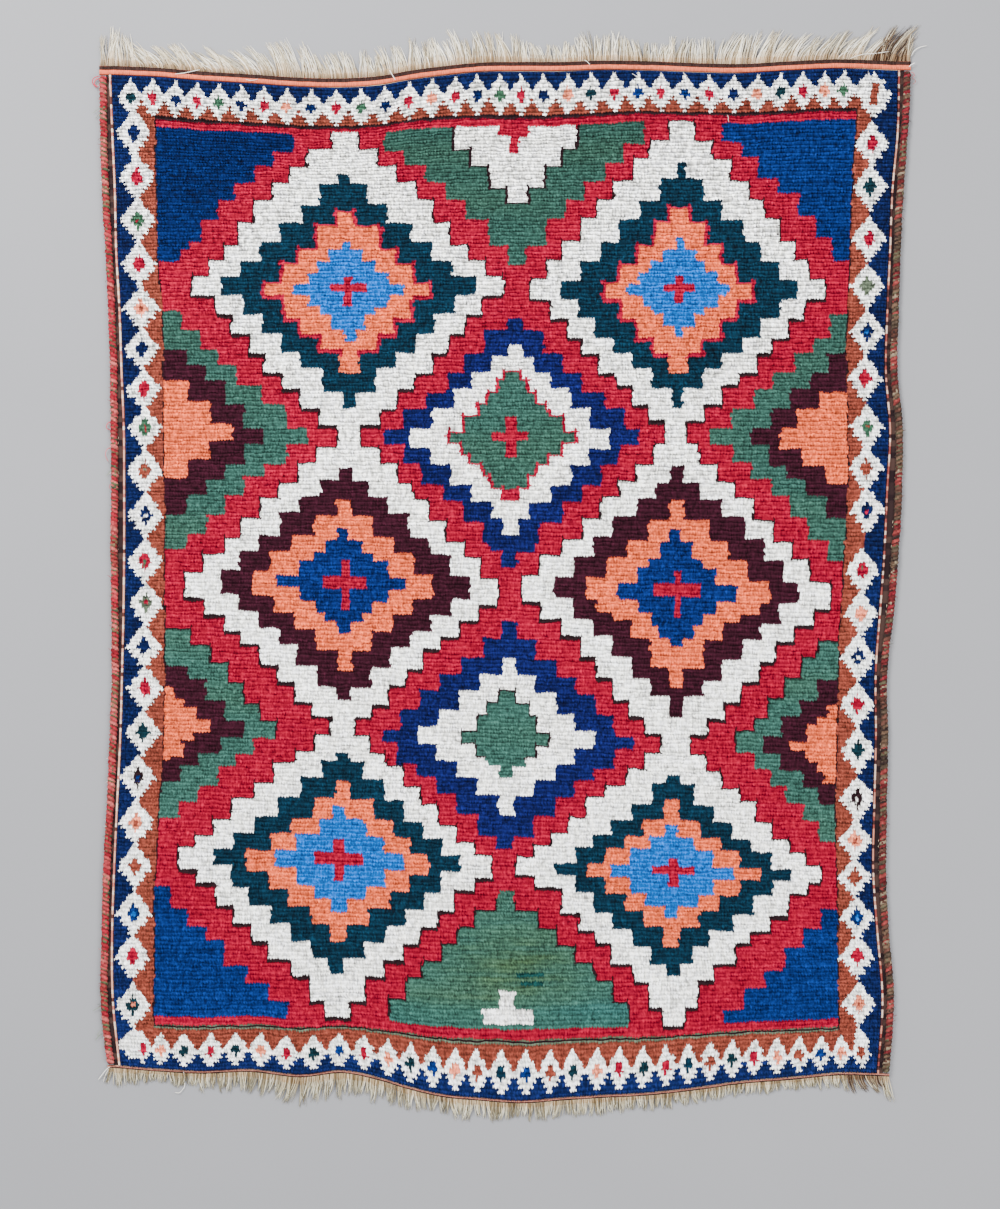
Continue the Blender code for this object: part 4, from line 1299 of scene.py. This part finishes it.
# Short loose ends: chart places along each, its height, its thickness in millimetres and its dye.
STRAYS = (
    (((175, 74), (183, 73.2), (191, 71.5), (200, 69.5)), 5.0, 1.0, (232, 228, 216)),
    (((246, 79.5), (250, 80.4), (254, 80), (258, 79)), 5.0, 0.9, (230, 226, 214)),
    (((389.5, 70), (391.5, 73.5), (393.5, 77), (395.5, 80)), 5.2, 1.3, (236, 232, 222)),
    (((584.5, 60), (587, 61.5), (588.5, 63), (590, 64.5)), 5.0, 1.0, (232, 228, 216)),
    (((632, 74), (635, 76), (637.5, 77.5), (640, 78)), 9.6, 0.7, (228, 226, 220)),
    (((683, 72.5), (684, 74.5), (686, 76), (687, 77)), 9.6, 0.7, (228, 226, 220)),
    (((727, 115.5), (728.2, 118), (728, 120.5), (729, 122.5)), 9.8, 0.7, (222, 206, 196)),
    (((850, 58.5), (862, 54.5), (874, 53.5), (889, 51.5)), 5.2, 1.0, (236, 228, 216)),
    (((911.5, 56), (914.5, 50.5), (920, 47), (927.5, 45.2)), 2.6, 1.1, (232, 228, 218)),
    (((909, 67), (911, 65), (913.5, 63.5), (915, 62.8)), 5.0, 1.3, (236, 232, 226)),
    (((183, 1070), (184.5, 1080), (184.3, 1087), (181, 1091.5)), 2.4, 1.1, (234, 230, 220)),
    (((181.5, 1091), (179.5, 1092.8), (177, 1093.2), (174.5, 1092.5)), 2.0, 1.0, (234, 230, 220)),
    (((109, 1067), (105, 1071), (101.5, 1075.5), (98, 1080)), 3.0, 1.2, (236, 232, 222)),
    (((110, 1067), (107, 1072), (104.5, 1077), (103, 1082.5)), 2.4, 1.0, (228, 222, 208)),
    (((112, 1067), (110, 1073), (108.5, 1078), (108, 1084)), 2.0, 1.0, (224, 218, 204)),
    (((110.5, 75), (110.2, 79), (109.4, 84), (109.6, 90)), 4.4, 0.9, (222, 220, 214)),
    (((100, 76), (94, 78), (92.5, 83), (97, 88)), 5.0, 1.6, (170, 40, 60)),
    (((99, 78), (95, 80.5), (94.5, 84.5), (99, 87)), 4.0, 1.6, (190, 60, 76)),
    (((101, 108), (97, 109.5), (94.5, 111.5), (92.5, 113)), 3.4, 0.7, (110, 124, 92)),
    (((101, 112), (98, 114.5), (96.5, 117), (94.5, 118)), 3.0, 0.7, (98, 110, 84)),
    (((111, 447), (106.5, 450), (105.5, 456), (108.5, 462)), 4.0, 1.0, (196, 76, 88)),
    (((112, 422), (107.5, 423.5), (106.5, 428), (111, 430.5)), 4.4, 1.2, (188, 50, 66)),
    (((112, 470), (109.5, 471.5), (108, 474), (105.5, 476)), 3.0, 0.7, (112, 128, 96)),
    (((112, 483), (109.5, 485), (109.5, 488), (112, 489.5)), 3.2, 0.8, (180, 70, 76)),
    (((101, 1006), (98, 1008), (95.5, 1009.5), (93, 1011)), 3.2, 0.7, (104, 122, 92)),
    (((102, 1034), (98.5, 1036), (97, 1038.5), (94.5, 1040.5)), 3.0, 0.8, (100, 120, 88)),
    (((104, 1030), (100, 1031.5), (97.5, 1034.5), (98, 1037)), 3.6, 0.7, (120, 130, 100)),
    (((911, 72), (913.5, 73), (914.5, 75.5), (912, 77)), 4.0, 0.9, (176, 60, 70)),
    (((912, 78), (915, 79.5), (915.5, 82), (912.5, 84)), 3.6, 0.8, (150, 70, 66)),
    (((899.5, 419), (902, 421), (902, 424.5), (900, 427)), 4.0, 0.9, (178, 50, 62)),
)


def build_strays():
    """The loose ends: a cubic curve through each row of places, resting at its height and falling at its
    tip."""
    t = np.linspace(0, 3, 9)
    taper = np.interp(t, (0, 0.4, 2.5, 3), (0.7, 1, 1, 0.5))
    points, radii = [], []
    for places, height, thick, _ in STRAYS:
        x, y = [smooth(np.arange(4.0), line, t) for line in np.array(places, float).T]
        z = height + 0.4 * np.sin(t * 2.1) - 0.3 * (t / 3) ** 2
        points.append(to_frame(x, y, z))
        radii.append(thick / 2 * MM * taper)
    dyes = linear([dye for *_, dye in STRAYS])
    return build_yarns("stray_ends", np.array(points), np.array(radii), dyes)


# Materials


class Strand:
    """A socket in a material's tree: an expression on strands and numbers adds its Math nodes."""

    def __init__(self, vat, socket):
        self.vat = vat
        self.socket = socket

    def _math(self, operation, first, second):
        return self.vat.add("ShaderNodeMath", {"operation": operation}, {0: first, 1: second})

    def __add__(self, other):
        return self._math("ADD", self, other)

    def __radd__(self, other):
        return self._math("ADD", other, self)

    def __mul__(self, other):
        return self._math("MULTIPLY", self, other)

    def __rmul__(self, other):
        return self._math("MULTIPLY", other, self)


class Vat:
    """A material and its tree of nodes."""

    def __init__(self, name, roughness, sheen):
        self.material = bpy.data.materials.new(name)
        self.material.use_nodes = True
        self.tree = self.material.node_tree
        self.shader = self.tree.nodes["Principled BSDF"]
        self.shader.inputs["Roughness"].default_value = roughness
        self.shader.inputs["Specular IOR Level"].default_value = 0.05
        self.shader.inputs["Sheen Weight"].default_value = sheen
        self.shader.inputs["Sheen Roughness"].default_value = 0.5

    def add(self, kind, settings, sockets, output=0):
        """Any node: its settings first, then the value or link of each socket, by number or name."""
        node = self.tree.nodes.new(kind)
        for key, value in settings.items():
            setattr(node, key, value)
        for key, value in sockets.items():
            self.feed(node, key, value)
        return Strand(self, node.outputs[output])

    def feed(self, node, key, value):
        if isinstance(value, Strand):
            self.tree.links.new(value.socket, node.inputs[key])
        else:
            node.inputs[key].default_value = value

    def place(self):
        return self.add("ShaderNodeTexCoord", {}, {}, "Object")

    def stretched(self, vector, scale):
        return self.add("ShaderNodeVectorMath", {"operation": "MULTIPLY"}, {0: vector, 1: scale})

    def noise(self, vector, scale, detail=2.0, roughness=0.55):
        return self.add("ShaderNodeTexNoise", {}, {
            "Vector": vector, "Scale": scale, "Detail": detail, "Roughness": roughness})

    def tinted(self, colour, tone):
        """A colour multiplied by a tone."""
        settings = {"data_type": "RGBA", "blend_type": "MULTIPLY"}
        return self.add("ShaderNodeMix", settings, {0: 1.0, 6: colour, 7: tone}, 2)

    def blended(self, share, colour, other):
        """One colour under a share of another."""
        return self.add("ShaderNodeMix", {"data_type": "RGBA"}, {0: share, 6: colour, 7: other}, 2)

    def bump(self, height, distance, strength):
        """A normal from a height, the distance in metres."""
        sockets = {"Height": height, "Distance": distance, "Strength": strength}
        return self.add("ShaderNodeBump", {}, sockets)


WOOL_ROUGHNESS = 0.92
WOOL_SHEEN = 0.02


def wool(name, fibre, stretch, tone_depth, bump_mm):
    """Dyed wool: the face's own dye times the painted shade given for each place, under fibre noise drawn
    out along the yarn, dust in soft patches, and bump from the same fibres. fibre is the noise's scale to
    the metre, and stretch what it is multiplied by on each axis."""
    vat = Vat(name, WOOL_ROUGHNESS, WOOL_SHEEN)
    place = vat.place()
    dye = vat.add("ShaderNodeAttribute", {"attribute_name": "dye"}, {}, "Color")
    painted_shade = vat.add("ShaderNodeAttribute", {"attribute_name": "painted_shade"}, {}, "Fac")
    fibres = vat.noise(vat.stretched(place, stretch), fibre, 3.0, 0.65)
    tufts = vat.noise(place, fibre * 0.22, 2.0)
    patches = vat.noise(place, 9.0, 3.0)
    # The painted shade of each place darkens the dye in the hollows between the yarns.
    tone = ((1 - tone_depth * 0.5) + tone_depth * fibres) * painted_shade
    tone = tone * (0.93 + 0.14 * tufts) * (0.95 + 0.10 * patches)
    vat.feed(vat.shader, "Base Color", vat.tinted(dye, tone))
    vat.feed(vat.shader, "Roughness", (WOOL_ROUGHNESS - 0.08) + 0.14 * fibres)
    vat.feed(vat.shader, "Normal", vat.bump(fibres + 0.5 * tufts, bump_mm * MM, 0.8))
    return vat.material


def floor_material():
    """Pale matt floor with a very faint mottle."""
    vat = Vat("pale_floor", 0.8, 0.0)
    mottle = vat.noise(vat.place(), 3.0, 4.0)
    pale = vat.blended(mottle, (0.22, 0.22, 0.23, 1.0), (0.24, 0.24, 0.25, 1.0))
    vat.feed(vat.shader, "Base Color", pale)
    vat.feed(vat.shader, "Roughness", 0.75 + 0.1 * mottle)
    return vat.material


def studio():
    """A pale floor under a soft overhead light, with a larger softer one across from it."""
    half = 12.0
    corners = np.array([(-half, -half, 0), (half, -half, 0), (half, half, 0), (-half, half, 0)])
    floor = new_piece("studio_floor", corners, np.array([(0, 1, 2, 3)]), smooth_shading=False)
    floor.data.materials.append(floor_material())
    world = bpy.data.worlds.new("soft_studio")
    world.use_nodes = True
    background = world.node_tree.nodes["Background"]
    background.inputs["Color"].default_value = (0.97, 0.98, 1.0, 1.0)
    background.inputs["Strength"].default_value = 1.48
    bpy.context.scene.world = world
    lamps = (
        ("key_light", (-1.6, 2.3, 2.5), 1.4, 318.0),
        ("fill_light", (2.2, -1.2, 3.4), 2.6, 170.0),
    )
    for name, place, wide, power in lamps:
        light = bpy.data.lights.new(name, "AREA")
        light.shape = "SQUARE"
        light.size = wide
        light.energy = power
        lamp = bpy.data.objects.new(name, light)
        bpy.context.scene.collection.objects.link(lamp)
        lamp.location = place
        lamp.rotation_euler = (-Vector(place)).to_track_quat("-Z", "Y").to_euler()
    return floor


def main():
    """Builds every piece, gives each its wool and slot, and says what it rides on and replaces."""
    chart = paint_chart()
    pile = build_pile(chart, laid_in_strips(chart, dyed(chart)))
    ground = build_ground()
    top_strip = build_end_strip("top_end_strip", CHART_TOP, 1, TOP_STRIP_WIDTH, TOP_BANDS, (0.15, 0.85))
    bottom_strip = build_end_strip(
        "bottom_end_strip", CHART_BOTTOM, -1, BOTTOM_STRIP_WIDTH, BOTTOM_BANDS, (0.2, 0.8))
    webs = [
        build_side_web("left_web", -1, LEFT_RIBS, 0.65),
        build_side_web("right_web", 1, RIGHT_RIBS, 0.25),
    ]
    left_cord = build_cord("left_side_cord", -1, LEFT_YARNS, LEFT_SEAMS, 0.30)
    right_cord = build_cord("right_side_cord", 1, RIGHT_YARNS, RIGHT_SEAMS, 0.42)
    fuzz = [
        build_cord_fuzz("left_cord_fuzz", -1, 260, (*LEFT_YARNS, *LEFT_SEAMS, (206, 200, 186))),
        build_cord_fuzz("right_cord_fuzz", 1, 200, (*RIGHT_YARNS, *RIGHT_SEAMS)),
    ]
    top_fringe = build_fringe("top_fringe", TOP_FRINGE, 1, TOP_STRIP_WIDTH, 1480, 6, 100, TOP_CREAMS)
    bottom_fringe = build_fringe(
        "bottom_fringe", BOTTOM_FRINGE, -1, BOTTOM_STRIP_WIDTH, 1380, 5, 130, BOTTOM_CREAMS)
    strays = build_strays()

    pile_wool = wool("pile_wool", 900.0, (1.0, 0.45, 1.0), 0.30, 0.5)
    flat_wool = wool("flatweave_wool", 1100.0, (1.0, 0.5, 1.0), 0.26, 0.35)
    cord_wool = wool("cord_wool", 1000.0, (0.5, 1.4, 1.0), 0.34, 0.5)
    warp_wool = wool("warp_wool", 1200.0, (1.6, 0.25, 1.0), 0.26, 0.25)
    for piece in [*pile, ground]:
        piece.data.materials.append(pile_wool)
    for piece in (top_strip, bottom_strip):
        piece.data.materials.append(flat_wool)
    for piece in (top_fringe, bottom_fringe, strays):
        piece.data.materials.append(warp_wool)
    for piece in (left_cord, right_cord, *fuzz, *webs):
        piece.data.materials.append(cord_wool)

    everything = [*pile, ground, top_strip, bottom_strip, *webs, left_cord, right_cord, *fuzz,
                  top_fringe, bottom_fringe, strays]
    for piece in everything:
        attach(piece, "root")
    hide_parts("rug_body")
    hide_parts("fringe_top")
    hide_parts("fringe_bottom")
    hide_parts("selvedge_left")
    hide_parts("selvedge_right")

    floor = studio()


main()
